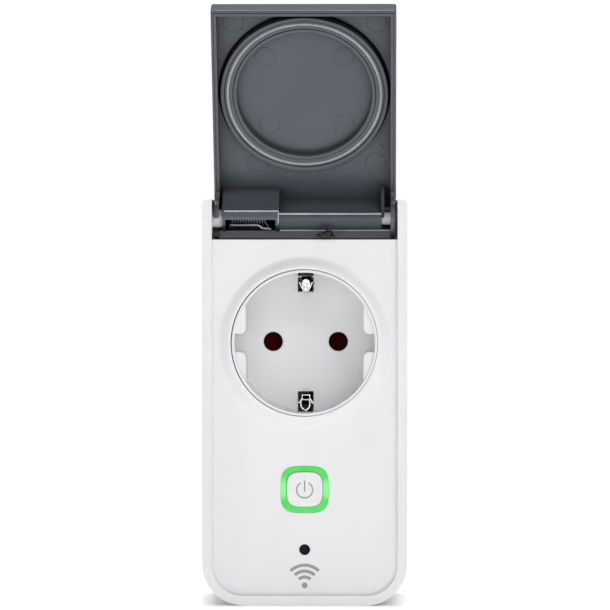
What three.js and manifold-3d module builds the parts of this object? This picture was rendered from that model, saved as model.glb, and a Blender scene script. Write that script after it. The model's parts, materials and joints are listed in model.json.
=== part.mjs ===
// An outdoor smart plug: an upright white housing with a round earthed socket in front, a matching
// plug behind, a hinged grey lid over the socket, and a lit button below it.
// Millimetres. +X is right, +Y is back, towards the wall, and +Z is up. The origin is the centre of
// the plug's face, between the two pins, which is also on the axis of the socket.

import * as THREE from 'three';
import { mergeVertices } from 'three/addons/utils/BufferGeometryUtils.js';
import Module from 'manifold-3d';

const wasm = await Module();
wasm.setup();

// ---- driving dimensions -------------------------------------------------------------------------

const GAP = 0.3;                    // clearance between two pieces that meet
const WALL = 2.2;                   // housing wall

const BODY_HALF_WIDTH = 29.5;
const BODY_TOP = 41.2;
const BODY_BOTTOM = -75.5;
const CORNER_RADIUS = 12;           // lower corners of the housing
const TOP_CORNER_RADIUS = 1.5;
const BACK_Y = -18;                 // flat back of the housing, 18 mm in front of the plug's face
const PARTING_Y = -32;              // where the two shells meet
const FACE_Y = -58;                 // recessed front face
const RIM_Y = -59.2;                // raised rim down both sides and along the bottom
const RECESS_HALF_WIDTH = 26.7;
const RECESS_BOTTOM = BODY_BOTTOM + 2.8;
const RECESS_RADIUS = 8.8;

const NOTCH_FLOOR = 29.7;           // the lid's hinge sits in a notch between two ears
const NOTCH_BACK_Y = -40.2;
const CAVITY_TOP = NOTCH_FLOOR - WALL;

const SOCKET_RIM_Y = -59.5;         // front edge of the socket
const SOCKET_DEPTH = 17.5;
const SOCKET_FLOOR_Y = SOCKET_RIM_Y + SOCKET_DEPTH;
const SOCKET_FLOOR_THICKNESS = 2;
const SOCKET_RADIUS = 20.2;
const SOCKET_OUTER_RADIUS = 21;
const SOCKET_FLAT = 16.9;           // the two side keys end in flats
const SOCKET_KEY_DROP = 0.8;        // their fronts lie just below the socket's edge
const SOCKET_GROOVE_HALF = 2.6;
const SEAT_TOP_RADIUS = 22.4;       // cone around the socket that the lid's seal lands on
const SEAT_BASE_RADIUS = 24.7;

const PIN_PITCH = 19;
const PIN_X = PIN_PITCH / 2;
const PIN_RADIUS = 2.4;
const PIN_LENGTH = 19;
const PIN_HOLE_RADIUS = 2.8;

const EARTH_WINDOW_HALF = 2.3;
const EARTH_WINDOW_INNER = 14.5;

const PLUG_RADIUS = 18.9;
const PLUG_FLAT = 16.4;
const PLUG_KEY_HALF = 2.2;
const PLUG_EARTH_SOCKET_Z = 10;     // hole for the earth pin that some wall sockets have

const BUTTON_Z = -42.15;
const RING_HALF_WIDTH = 6.9;
const RING_HALF_HEIGHT = 6.75;
const RING_POWER = 3.5;             // 2 would be an ellipse, and a large power a plain rectangle
const RING_BAND = 1.6;
const BUTTON_CLEARANCE = 0.2;
const INDICATOR_Z = -59.5;
const INDICATOR_RADIUS = 1.6;

const AXIS_Y = -53;                 // hinge axis of the lid
const AXIS_Z = 35.8;
const LID_OPEN_ANGLE = 153;
const LID_HALF_WIDTH = 26.3;
const LID_WALL = 1.6;
const LID_FRONT = -11.2;            // outer face of the closed lid, measured from the hinge axis
const LID_INNER = LID_FRONT + LID_WALL;
const LID_CREST = -5.3;             // edges of the closed lid
const LID_END = -62.7;              // free end of the closed lid
const KNUCKLE_RADIUS = 5.7;
const LIP_INNER = 3.5;              // inner face of the lid's rounded hinge end
const NECK_Z = -6.5;                // where the lid's side walls begin to widen into the knuckle
const COLLAR_INNER_RADIUS = [19.4, 20.4];
const COLLAR_OUTER_RADIUS = [22.9, 24];
const COLLAR_TOP = -7.2;
const SEAL_RIDGE_RADIUS = 21.85;
const HINGE_PIN_LEFT_RADIUS = 2.6;
const HINGE_PIN_RIGHT_RADIUS = 1.8;

const HOOD_LEFT = -23.8;            // cover over the hinge spring
const HOOD_RIGHT = -7.5;
const HOOD_WALL = 0.9;
const HOOD_SHOULDER = [-3.9, -5.3];
const HOOD_CREASE = [2.7, -3.7];
const HUB_X = 22;

const BOARD_FRONT_Y = -50;
const BOARD_THICKNESS = 1.6;
const BOARD_BACK_Y = BOARD_FRONT_Y + BOARD_THICKNESS;
const BOARD_HALF_WIDTH = 25;
const BOARD_TOP = -27.5;
const BOARD_BOTTOM = -61.5;

const ROUND = 64;                   // facets of a large round
const SMALL_ROUND = 20;             // facets of a small round

// ---- shape helpers ------------------------------------------------------------------------------

// A closed geometry as a solid that can be joined and cut.
function solid(geometry) {
  const bare = geometry.index ? geometry.toNonIndexed() : geometry.clone();
  bare.deleteAttribute('normal');
  bare.deleteAttribute('uv');
  const merged = mergeVertices(bare, 1e-4);
  return new wasm.Manifold(new wasm.Mesh({
    numProp: 3,
    vertProperties: new Float32Array(merged.attributes.position.array),
    triVerts: new Uint32Array(merged.index.array),
  }));
}

function geometryOf(manifold) {
  const mesh = manifold.getMesh();
  const positions = new Float32Array(mesh.numVert * 3);
  for (let vertex = 0; vertex < mesh.numVert; vertex += 1) {
    for (let axis = 0; axis < 3; axis += 1) {
      positions[vertex * 3 + axis] = mesh.vertProperties[vertex * mesh.numProp + axis];
    }
  }
  const geometry = new THREE.BufferGeometry();
  geometry.setAttribute('position', new THREE.BufferAttribute(positions, 3));
  geometry.setIndex(new THREE.BufferAttribute(new Uint32Array(mesh.triVerts), 1));
  geometry.computeVertexNormals();
  return geometry;
}

// Joins the geometries in `adds`, then cuts those in `cuts` away.
function build(adds, cuts = []) {
  let result = solid(adds[0]);
  for (const geometry of adds.slice(1)) {
    result = result.add(solid(geometry));
  }
  for (const geometry of cuts) {
    result = result.subtract(solid(geometry));
  }
  return geometryOf(result);
}

function box(x, y, z) {
  const geometry = new THREE.BoxGeometry(x[1] - x[0], y[1] - y[0], z[1] - z[0]);
  return geometry.translate((x[0] + x[1]) / 2, (y[0] + y[1]) / 2, (z[0] + z[1]) / 2);
}

// A cylinder along Y at (x, z), from y[0] to y[1].
function rod(radius, x, y, z, segments = SMALL_ROUND) {
  const geometry = new THREE.CylinderGeometry(radius, radius, y[1] - y[0], segments);
  return geometry.translate(x, (y[0] + y[1]) / 2, z);
}

// A cylinder along X at (y, z), from x[0] to x[1].
function shaft(radius, x, y, z, segments = SMALL_ROUND) {
  const geometry = new THREE.CylinderGeometry(radius, radius, x[1] - x[0], segments);
  return geometry.rotateZ(Math.PI / 2).translate((x[0] + x[1]) / 2, y, z);
}

// A body turned about the Y axis from an outline of [radius, y] points. The outline starts and ends
// on the axis, or else it is closed on itself.
function turned(outline, segments = ROUND) {
  const points = outline.map(([radius, y]) => new THREE.Vector2(radius, y));
  if (THREE.ShapeUtils.area(points) < 0) {
    points.reverse();
  }
  const solidCore = outline[0][0] === 0 && outline.at(-1)[0] === 0;
  if (!solidCore) {
    points.push(points[0].clone());
  }
  return new THREE.LatheGeometry(points, segments);
}

// A flat outline in X and Z, given thickness from y[0] to y[1].
function plate(shape, y, curveSegments = 6) {
  const geometry = new THREE.ExtrudeGeometry(shape, {
    depth: y[1] - y[0], bevelEnabled: false, curveSegments,
  });
  return geometry.rotateX(Math.PI / 2).translate(0, y[1], 0);
}

// A side outline in Y and Z, given width from x[0] to x[1].
function section(shape, x, curveSegments = 6) {
  const geometry = new THREE.ExtrudeGeometry(shape, {
    depth: x[1] - x[0], bevelEnabled: false, curveSegments,
  });
  const turn = new THREE.Matrix4().makeBasis(
    new THREE.Vector3(0, 1, 0), new THREE.Vector3(0, 0, 1), new THREE.Vector3(1, 0, 0),
  );
  return geometry.applyMatrix4(turn).translate(x[0], 0, 0);
}

function polygon(points) {
  return new THREE.Shape(points.map(([a, b]) => new THREE.Vector2(a, b)));
}

// A rectangle with one corner radius above and another below.
function roundedRectangle(x, z, lowRadius, highRadius = lowRadius) {
  const shape = new THREE.Shape();
  shape.moveTo(x[0] + lowRadius, z[0]);
  shape.lineTo(x[1] - lowRadius, z[0]);
  shape.absarc(x[1] - lowRadius, z[0] + lowRadius, lowRadius, -Math.PI / 2, 0);
  shape.lineTo(x[1], z[1] - highRadius);
  shape.absarc(x[1] - highRadius, z[1] - highRadius, highRadius, 0, Math.PI / 2);
  shape.lineTo(x[0] + highRadius, z[1]);
  shape.absarc(x[0] + highRadius, z[1] - highRadius, highRadius, Math.PI / 2, Math.PI);
  shape.lineTo(x[0], z[0] + lowRadius);
  shape.absarc(x[0] + lowRadius, z[0] + lowRadius, lowRadius, Math.PI, 1.5 * Math.PI);
  return shape;
}

// The housing's outline drawn in by `inset`.
function bodyOutline(inset) {
  const half = BODY_HALF_WIDTH - inset;
  const high = Math.max(TOP_CORNER_RADIUS - inset, 0.5);
  return roundedRectangle([-half, half], [BODY_BOTTOM + inset, BODY_TOP - inset],
    CORNER_RADIUS - inset, high);
}

// The light ring's outline drawn in by `inset`: a square with full, soft corners.
function buttonOutline(inset, points = 40) {
  const outline = [];
  for (let step = 0; step < points; step += 1) {
    const angle = (step / points) * 2 * Math.PI;
    const across = Math.cos(angle);
    const up = Math.sin(angle);
    outline.push([
      (RING_HALF_WIDTH - inset) * Math.sign(across) * Math.abs(across) ** (2 / RING_POWER),
      BUTTON_Z + (RING_HALF_HEIGHT - inset) * Math.sign(up) * Math.abs(up) ** (2 / RING_POWER),
    ]);
  }
  return polygon(outline);
}

// ---- materials ----------------------------------------------------------------------------------

function finish(color, roughness, metalness = 0) {
  return { color, roughness, metalness };
}

const WHITE_PLASTIC = finish('#e8e8e8', 0.38);
const GREY_PLASTIC = finish('#5d636c', 0.42);
const GREY_RUBBER = finish('#565b63', 0.6);
const SEAL_RUBBER = finish('#8f9296', 0.75);
const SHUTTER_PLASTIC = finish('#4a0f0d', 0.5);
const BLACK_PLASTIC = finish('#17181a', 0.45);
const NICKEL = finish('#c9c7c1', 0.25, 1);
const BRASS = finish('#b8924a', 0.35, 1);
const STEEL = finish('#8d9093', 0.35, 1);
const GREEN_GLOW = finish('#46d75a', 0.35);
const BOARD_GREEN = finish('#1d5a36', 0.5);

const plug = new THREE.Group();

function addPiece(name, geometry, look, parent = plug) {
  const mesh = new THREE.Mesh(geometry, new THREE.MeshStandardMaterial(look));
  mesh.name = name;
  parent.add(mesh);
}

// ---- fastener places ----------------------------------------------------------------------------

const SCREW_RADIUS = 1.3;
const SCREW_HEAD_RADIUS = 2.7;
const SCREW_TIP_Y = -36;
const SCREW_SHOULDER_Y = -20.9;
const SCREW_TOP_Y = -18.6;
const POST_RADIUS = 3.4;
const SCREWS = [
  { name: 'upper_left', x: -21.2, z: 33 },
  { name: 'upper_right', x: 21.2, z: 33 },
  { name: 'lower_left', x: -20, z: -65.5 },
  { name: 'lower_right', x: 20, z: -65.5 },
];

// ---- housing ------------------------------------------------------------------------------------

function frontShell() {
  const innerFaceY = FACE_Y + WALL;
  const half = BODY_HALF_WIDTH - WALL;
  const recess = roundedRectangle([-RECESS_HALF_WIDTH, RECESS_HALF_WIDTH],
    [RECESS_BOTTOM, BODY_TOP + 20], RECESS_RADIUS);
  const cavity = roundedRectangle([-half, half], [BODY_BOTTOM + WALL, CAVITY_TOP],
    CORNER_RADIUS - WALL, 1);
  const bosses = SCREWS.map(({ x, z }) => rod(POST_RADIUS, x,
    [z > 0 ? NOTCH_BACK_Y + 1 : FACE_Y + 1, PARTING_Y], z));
  const shellBody = solid(plate(bodyOutline(0), [RIM_Y, PARTING_Y]))
    .subtract(solid(plate(recess, [RIM_Y - 1, FACE_Y])))
    .subtract(solid(plate(cavity, [innerFaceY, PARTING_Y + 1])))
    .subtract(solid(plate(bodyOutline(WALL), [NOTCH_BACK_Y + WALL, PARTING_Y + 1])))
    .subtract(solid(box([-RECESS_HALF_WIDTH, RECESS_HALF_WIDTH], [RIM_Y - 5, NOTCH_BACK_Y],
      [NOTCH_FLOOR, BODY_TOP + 5])));
  const seat = solid(turned([
    [SOCKET_OUTER_RADIUS, innerFaceY], [SOCKET_OUTER_RADIUS, SOCKET_RIM_Y],
    [SEAT_TOP_RADIUS, SOCKET_RIM_Y], [SEAT_BASE_RADIUS, FACE_Y], [SEAT_BASE_RADIUS, innerFaceY],
  ]));
  let shell = shellBody.add(seat);
  for (const boss of bosses) {
    shell = shell.add(solid(boss));
  }
  const cuts = [
    rod(SOCKET_OUTER_RADIUS + GAP, 0, [SOCKET_RIM_Y - 2, innerFaceY + 2], 0, ROUND),
    plate(buttonOutline(-GAP), [FACE_Y - 2, innerFaceY + 1]),
    rod(INDICATOR_RADIUS, 0, [FACE_Y - 2, innerFaceY + 1], INDICATOR_Z),
    ...SCREWS.map(({ x, z }) => rod(SCREW_RADIUS + GAP, x, [SCREW_TIP_Y - 1, PARTING_Y + 1], z)),
    shaft(HINGE_PIN_LEFT_RADIUS + GAP, [-BODY_HALF_WIDTH + 1, -RECESS_HALF_WIDTH + 1],
      AXIS_Y, AXIS_Z),
    shaft(HINGE_PIN_RIGHT_RADIUS + GAP, [RECESS_HALF_WIDTH - 1, BODY_HALF_WIDTH - 1],
      AXIS_Y, AXIS_Z),
  ];
  for (const geometry of cuts) {
    shell = shell.subtract(solid(geometry));
  }
  return geometryOf(shell);
}

const FLANGE_FRONT_Y = -24;
const FLANGE_BACK_Y = BACK_Y - WALL - GAP;
const FLANGE_RADIUS = 21.5;

function rearShell() {
  const floorY = BACK_Y - WALL;
  const shell = build([
    plate(bodyOutline(0), [PARTING_Y + GAP, BACK_Y]),
  ], [
    plate(bodyOutline(WALL), [PARTING_Y - 1, floorY]),
  ]);
  const posts = SCREWS.map(({ x, z }) => rod(POST_RADIUS, x, [PARTING_Y + GAP, BACK_Y - 1], z));
  const cuts = [rod(PLUG_RADIUS + GAP, 0, [floorY - 1, BACK_Y + 1], 0, ROUND)];
  for (const { x, z } of SCREWS) {
    cuts.push(rod(SCREW_RADIUS + GAP, x, [PARTING_Y - 1, BACK_Y + 1], z));
    cuts.push(rod(SCREW_HEAD_RADIUS + GAP, x, [SCREW_SHOULDER_Y - GAP, BACK_Y + 1], z));
  }
  return build([shell, ...posts], cuts);
}

// A soft ring just inside the walls that closes the joint between the two shells.
function shellSeal() {
  const outer = WALL + GAP;
  const width = 1.3;
  const y = [PARTING_Y - 1.2, PARTING_Y + 1.5];
  return build([plate(bodyOutline(outer), y)],
    [plate(bodyOutline(outer + width), [y[0] - 1, y[1] + 1])]);
}

function housingScrew({ x, z }) {
  const slot = [0.35, SCREW_HEAD_RADIUS * 0.7];
  const cross = [SCREW_TOP_Y - 1.2, SCREW_TOP_Y + 1];
  return build([
    rod(SCREW_RADIUS, x, [SCREW_TIP_Y, SCREW_SHOULDER_Y + 0.1], z, 12),
    rod(SCREW_HEAD_RADIUS, x, [SCREW_SHOULDER_Y, SCREW_TOP_Y], z),
  ], [
    box([x - slot[0], x + slot[0]], cross, [z - slot[1], z + slot[1]]),
    box([x - slot[1], x + slot[1]], cross, [z - slot[0], z + slot[0]]),
  ]);
}

addPiece('front_shell', frontShell(), WHITE_PLASTIC);
addPiece('rear_shell', rearShell(), WHITE_PLASTIC);
addPiece('shell_seal', shellSeal(), SEAL_RUBBER);
for (const screw of SCREWS) {
  addPiece(`housing_screw_${screw.name}`, housingScrew(screw), STEEL);
}

// ---- socket in front ----------------------------------------------------------------------------

function socketInsert() {
  const floorBackY = SOCKET_FLOOR_Y + SOCKET_FLOOR_THICKNESS;
  const hollow = solid(rod(SOCKET_RADIUS, 0, [SOCKET_RIM_Y - 1, SOCKET_FLOOR_Y], 0, ROUND));
  const keyY = [SOCKET_RIM_Y + SOCKET_KEY_DROP, SOCKET_FLOOR_Y + 1];
  let cup = solid(rod(SOCKET_OUTER_RADIUS, 0, [SOCKET_RIM_Y, floorBackY], 0, ROUND))
    .subtract(hollow);
  for (const side of [-1, 1]) {
    const key = new THREE.Shape();
    const corner = 1.7;
    key.moveTo(SOCKET_RADIUS + 0.4, SOCKET_GROOVE_HALF);
    key.lineTo(SOCKET_FLAT + corner, SOCKET_GROOVE_HALF);
    key.absarc(SOCKET_FLAT + corner, SOCKET_GROOVE_HALF + corner, corner,
      -Math.PI / 2, -Math.PI, true);
    key.lineTo(SOCKET_FLAT, SOCKET_RADIUS);
    key.lineTo(SOCKET_RADIUS + 0.4, SOCKET_RADIUS);
    const block = solid(plate(key, keyY));
    const bore = solid(rod(SOCKET_RADIUS + 0.4, 0, keyY, 0, ROUND));
    const upper = block.intersect(bore);
    const turnedOver = side > 0 ? upper : upper.rotate([0, 180, 0]);
    cup = cup.add(turnedOver).add(turnedOver.mirror([0, 0, 1]));
  }
  const holes = [-1, 1].map((side) => rod(PIN_HOLE_RADIUS, side * PIN_X,
    [SOCKET_FLOOR_Y - 1, floorBackY + 1], 0, 24));
  const windows = [-1, 1].map((side) => box([-EARTH_WINDOW_HALF, EARTH_WINDOW_HALF],
    [SOCKET_FLOOR_Y - 1, floorBackY + 1],
    [side * EARTH_WINDOW_INNER, side * (SOCKET_RADIUS - 0.3)].sort((a, b) => a - b)));
  for (const geometry of [...holes, ...windows]) {
    cup = cup.subtract(solid(geometry));
  }
  return geometryOf(cup);
}

const SHUTTER_Y = [-39.3, -37.6];
const CARRIER_Y = [-37, -29.8];
const PIVOT_RADIUS = 1;

// A two-bladed turning shutter that covers both pin holes until both pins push it aside.
function safetyShutter() {
  const pads = [-1, 1].map((side) => rod(3.3, side * PIN_X, SHUTTER_Y, 0, 24));
  return build([
    rod(2, 0, [SHUTTER_Y[0], CARRIER_Y[0] - GAP], 0),
    box([-PIN_X, PIN_X], [SHUTTER_Y[0], SHUTTER_Y[0] + 1], [-1.5, 1.5]),
    ...pads,
  ], [rod(PIVOT_RADIUS + GAP, 0, [SHUTTER_Y[0] - 1, CARRIER_Y[0]], 0)]);
}

function shutterSpring() {
  return turned([[2.4, -38], [3, -38], [3, -37.4], [2.4, -37.4]], 24);
}

const CONTACT_HALF = [3.1, 3.2];
const LEAF = 0.6;

// The insulating block behind the socket floor that holds both contacts and the shutter's pivot.
function contactCarrier() {
  const pockets = [-1, 1].map((side) => box(
    [side * PIN_X - CONTACT_HALF[0] - GAP, side * PIN_X + CONTACT_HALF[0] + GAP],
    [CARRIER_Y[0] - 1, CARRIER_Y[1] + 1], [-CONTACT_HALF[1] - GAP, CONTACT_HALF[1] + GAP]));
  return build([
    plate(roundedRectangle([-17, 17], [-7, 7], 2), CARRIER_Y, 3),
    rod(PIVOT_RADIUS, 0, [SHUTTER_Y[0], CARRIER_Y[0] + 1], 0, 12),
  ], pockets);
}

const TAIL_Y = [-29.3, -28.5];
const TAIL_Z = [-33.8, -33];

// A folded brass clip around the pin, with a strip that runs down and forward to the board.
function pinContact(side) {
  const x = side * PIN_X;
  const tailX = [side * 6, side * 9.6].sort((a, b) => a - b);
  return build([
    box([x - CONTACT_HALF[0], x + CONTACT_HALF[0]], [CARRIER_Y[0] + 0.3, TAIL_Y[1]],
      [-CONTACT_HALF[1], CONTACT_HALF[1]]),
    box(tailX, TAIL_Y, [TAIL_Z[0], 0]),
    box(tailX, [BOARD_BACK_Y + GAP, TAIL_Y[1]], TAIL_Z),
  ], [
    box([x - CONTACT_HALF[0] + LEAF, x + CONTACT_HALF[0] - LEAF],
      [CARRIER_Y[0], TAIL_Y[0]], [-CONTACT_HALF[1] - 1, CONTACT_HALF[1] + 1]),
  ]);
}

// One bent strip: a cross piece behind the carrier and a sprung tongue at each end, which rises
// through the floor's window beside the wall and folds back inwards.
function earthStrap() {
  const half = 1.5;
  const thick = 0.6;
  const backY = TAIL_Y[1];
  const outer = 19;
  const tongue = polygon([
    [backY, outer - thick], [-46, outer - thick], [-49.2, 16.9], [-49.9, 15.9], [-49.2, 15.4],
    [-45.2, 16.6], [-45.2, 16], [-49.6, 14.7], [-50.6, 15.9], [-49.6, 17.5], [-46.2, outer],
    [backY, outer],
  ]);
  const upper = solid(section(tongue, [-half, half]));
  const back = solid(box([-half, half], [backY - thick, backY], [-outer, outer]));
  return geometryOf(back.add(upper).add(upper.mirror([0, 0, 1])));
}

addPiece('socket_insert', socketInsert(), WHITE_PLASTIC);
addPiece('safety_shutter', safetyShutter(), SHUTTER_PLASTIC);
addPiece('shutter_spring', shutterSpring(), STEEL);
addPiece('contact_carrier', contactCarrier(), BLACK_PLASTIC);
addPiece('pin_contact_left', pinContact(-1), BRASS);
addPiece('pin_contact_right', pinContact(1), BRASS);
addPiece('earth_strap', earthStrap(), NICKEL);

// ---- plug behind --------------------------------------------------------------------------------

const PLUG_STRIP_HALF = 2.6;
const PLUG_STRIP_Z = [17.3, 18.5];

function plugBase() {
  const flatCut = (side, z) => box([side * PLUG_FLAT, side * 30].sort((a, b) => a - b),
    [BACK_Y + 1, 1], z);
  const cuts = [];
  for (const side of [-1, 1]) {
    cuts.push(flatCut(side, [PLUG_KEY_HALF, 20]));
    cuts.push(flatCut(side, [-20, -PLUG_KEY_HALF]));
    cuts.push(rod(PIN_RADIUS + GAP, side * PIN_X, [FLANGE_FRONT_Y - 1, 1], 0));
    cuts.push(box([-PLUG_STRIP_HALF - GAP, PLUG_STRIP_HALF + GAP], [FLANGE_FRONT_Y - 1, -1.5 + GAP],
      [side * (PLUG_STRIP_Z[0] - GAP), side * 25].sort((a, b) => a - b)));
  }
  cuts.push(rod(3.3, 0, [FLANGE_FRONT_Y - 1, 1], PLUG_EARTH_SOCKET_Z));
  return build([
    rod(PLUG_RADIUS, 0, [FLANGE_BACK_Y - 1, 0], 0, ROUND),
    rod(FLANGE_RADIUS, 0, [FLANGE_FRONT_Y, FLANGE_BACK_Y], 0, ROUND),
  ], cuts);
}

// A round pin with a domed tip.
function plugPin(side) {
  const dome = 1.6;
  const outline = [[0, FLANGE_FRONT_Y - 1.5], [PIN_RADIUS, FLANGE_FRONT_Y - 1.5],
    [PIN_RADIUS, PIN_LENGTH - dome]];
  const steps = 4;
  for (let step = 1; step <= steps; step += 1) {
    const angle = (step / steps) * Math.PI / 2;
    const radius = step === steps ? 0 : PIN_RADIUS * Math.cos(angle);
    outline.push([radius, PIN_LENGTH - dome + dome * Math.sin(angle)]);
  }
  return turned(outline, SMALL_ROUND).translate(side * PIN_X, 0, 0);
}

function plugEarthStrip(side) {
  const z = PLUG_STRIP_Z.map((value) => side * value).sort((a, b) => a - b);
  return box([-PLUG_STRIP_HALF, PLUG_STRIP_HALF], [FLANGE_FRONT_Y - 1, -1.5], z);
}

const EARTH_SLEEVE = { outer: 3, inner: 2.4, y: [FLANGE_FRONT_Y - 1, -1] };

function plugEarthSleeve() {
  const { outer, inner, y } = EARTH_SLEEVE;
  return turned([[inner, y[0]], [outer, y[0]], [outer, y[1]], [inner, y[1]]], SMALL_ROUND)
    .translate(0, 0, PLUG_EARTH_SOCKET_Z);
}

const BUSBAR_Z = [-30.6, -29.8];

// A strip from the back of a pin down to the board.
function busbar(side) {
  const x = [side * 10.2, side * 14.5].sort((a, b) => a - b);
  const y = [-26.7, -25.8];
  return build([box(x, y, [BUSBAR_Z[0], 2]), box(x, [BOARD_BACK_Y + GAP, y[1]], BUSBAR_Z)]);
}

addPiece('plug_base', plugBase(), WHITE_PLASTIC);
addPiece('plug_pin_left', plugPin(-1), NICKEL);
addPiece('plug_pin_right', plugPin(1), NICKEL);
addPiece('plug_earth_strip_upper', plugEarthStrip(1), NICKEL);
addPiece('plug_earth_strip_lower', plugEarthStrip(-1), NICKEL);
addPiece('plug_earth_sleeve', plugEarthSleeve(), NICKEL);
addPiece('busbar_left', busbar(-1), BRASS);
addPiece('busbar_right', busbar(1), BRASS);

// ---- button and light ---------------------------------------------------------------------------

const RING_FLANGE_Y = [-55.5, -54.6];
const RING_FLANGE_EXTRA = 1.4;
const BUTTON_BACK_Y = -56;
const BUTTON_FRONT_Y = FACE_Y - 0.3;
const BUTTON_STEM_RADIUS = 1.5;
const BUTTON_TRAVEL_SPACE = 0.2;
const MEMBRANE_Y = [-54.3, -53.7];
const PLUNGER_Y = [-53.6, -52.2];
const SWITCH_FRONT_Y = -53;

// A clear light guide: the lit band in the front face, on a wider flange behind it.
function lightRing() {
  const band = buttonOutline(0);
  const flange = buttonOutline(-RING_FLANGE_EXTRA);
  return build([
    plate(band, [FACE_Y, RING_FLANGE_Y[1]]),
    plate(flange, RING_FLANGE_Y),
  ], [plate(buttonOutline(RING_BAND), [FACE_Y - 1, RING_FLANGE_Y[1] + 1])]);
}

function buttonCap() {
  return build([
    plate(buttonOutline(RING_BAND + BUTTON_CLEARANCE), [BUTTON_FRONT_Y, BUTTON_BACK_Y]),
    rod(BUTTON_STEM_RADIUS, 0, [BUTTON_BACK_Y - 0.5, PLUNGER_Y[0] - BUTTON_TRAVEL_SPACE],
      BUTTON_Z),
  ]);
}

function buttonSeal() {
  return build([plate(buttonOutline(-RING_FLANGE_EXTRA), MEMBRANE_Y)],
    [rod(BUTTON_STEM_RADIUS + GAP, 0, [MEMBRANE_Y[0] - 1, MEMBRANE_Y[1] + 1], BUTTON_Z)]);
}

const SWITCH_HALF = 3;
const PLUNGER_RADIUS = 1.6;

function tactileSwitch() {
  return build([box([-SWITCH_HALF, SWITCH_HALF], [SWITCH_FRONT_Y, BOARD_FRONT_Y - GAP],
    [BUTTON_Z - SWITCH_HALF, BUTTON_Z + SWITCH_HALF])],
  [rod(PLUNGER_RADIUS + GAP, 0, [SWITCH_FRONT_Y - 1, PLUNGER_Y[1] + 0.8], BUTTON_Z)]);
}

function ringLed(side) {
  const x = side * (RING_HALF_WIDTH - RING_BAND / 2);
  return box([x - 0.8, x + 0.8], [-51.6, BOARD_FRONT_Y - GAP], [BUTTON_Z - 1.2, BUTTON_Z + 1.2]);
}

// A dark window behind the small round hole.
function indicatorWindow() {
  return build([
    rod(INDICATOR_RADIUS - 0.2, 0, [FACE_Y + 0.9, FACE_Y + WALL + 1], INDICATOR_Z),
    rod(INDICATOR_RADIUS + 1, 0, [FACE_Y + WALL + GAP, FACE_Y + WALL + 1.3], INDICATOR_Z),
  ]);
}

addPiece('light_ring', lightRing(), GREEN_GLOW);
addPiece('button_cap', buttonCap(), WHITE_PLASTIC);
addPiece('button_seal', buttonSeal(), SEAL_RUBBER);
addPiece('tactile_switch', tactileSwitch(), BLACK_PLASTIC);
addPiece('switch_plunger', rod(PLUNGER_RADIUS, 0, PLUNGER_Y, BUTTON_Z), BLACK_PLASTIC);
addPiece('ring_led_left', ringLed(-1), GREEN_GLOW);
addPiece('ring_led_right', ringLed(1), GREEN_GLOW);
addPiece('indicator_window', indicatorWindow(), BLACK_PLASTIC);

// ---- circuit board ------------------------------------------------------------------------------

const PART_BASE_Y = BOARD_BACK_Y + GAP;

// A block standing on the back of the board.
function boardBlock(x, z, height) {
  return box(x, [PART_BASE_Y, PART_BASE_Y + height], z);
}

addPiece('main_board', plate(roundedRectangle([-BOARD_HALF_WIDTH, BOARD_HALF_WIDTH],
  [BOARD_BOTTOM, BOARD_TOP], 1), [BOARD_FRONT_Y, BOARD_BACK_Y], 2), BOARD_GREEN);
addPiece('power_relay', boardBlock([-24, -5], [-60.5, -45], 15.5), BLACK_PLASTIC);
addPiece('power_module', boardBlock([-3, 17], [-60.5, -46], 12), BLACK_PLASTIC);
addPiece('filter_capacitor', boardBlock([5, 18], [-43.5, -37.5], 11), finish('#c9b458', 0.4));
addPiece('storage_capacitor', rod(4.3, -17, [PART_BASE_Y, PART_BASE_Y + 12], -38),
  finish('#2b2f45', 0.35));
addPiece('varistor', shaft(4.3, [-3, 0.6], PART_BASE_Y + 5, -39), finish('#2f5f9c', 0.5));
addPiece('fuse', rod(2.2, 21.8, [PART_BASE_Y, PART_BASE_Y + 8], -36, 16),
  finish('#5b4a3a', 0.5));
addPiece('radio_module', box([-24.5, -8.9], [BOARD_FRONT_Y - GAP - 3, BOARD_FRONT_Y - GAP],
  [-60, -37]), STEEL);

// ---- lid and hinge ------------------------------------------------------------------------------
// The lid is drawn closed, from its hinge axis, and then its group is turned open.

const lid = new THREE.Group();
lid.position.set(0, AXIS_Y, AXIS_Z);
lid.rotation.x = THREE.MathUtils.degToRad(-LID_OPEN_ANGLE);
plug.add(lid);

// A slot that lets the lid snap over a pin. Its angle is measured on the open lid, up from level.
function snapSlot(radius, x, angle) {
  const turn = THREE.MathUtils.degToRad(LID_OPEN_ANGLE - angle);
  const slot = box(x, [-12, 0], [-radius, radius]);
  return slot.rotateX(turn);
}

function lidOuterSection() {
  const corner = 5;
  const edge = 1.3;
  const neckY = -3.6;
  const neckZ = -Math.sqrt(KNUCKLE_RADIUS ** 2 - neckY ** 2);
  const shape = new THREE.Shape();
  shape.moveTo(LID_CREST, LID_END);
  shape.lineTo(LID_CREST, NECK_Z);
  shape.lineTo(neckY, neckZ);
  shape.absarc(0, 0, KNUCKLE_RADIUS, Math.atan2(neckZ, neckY), Math.PI / 2);
  shape.lineTo(LID_FRONT + corner, KNUCKLE_RADIUS);
  shape.absarc(LID_FRONT + corner, KNUCKLE_RADIUS - corner, corner, Math.PI / 2, Math.PI);
  shape.lineTo(LID_FRONT, LID_END + edge);
  shape.lineTo(LID_FRONT + edge, LID_END);
  return shape;
}

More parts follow.
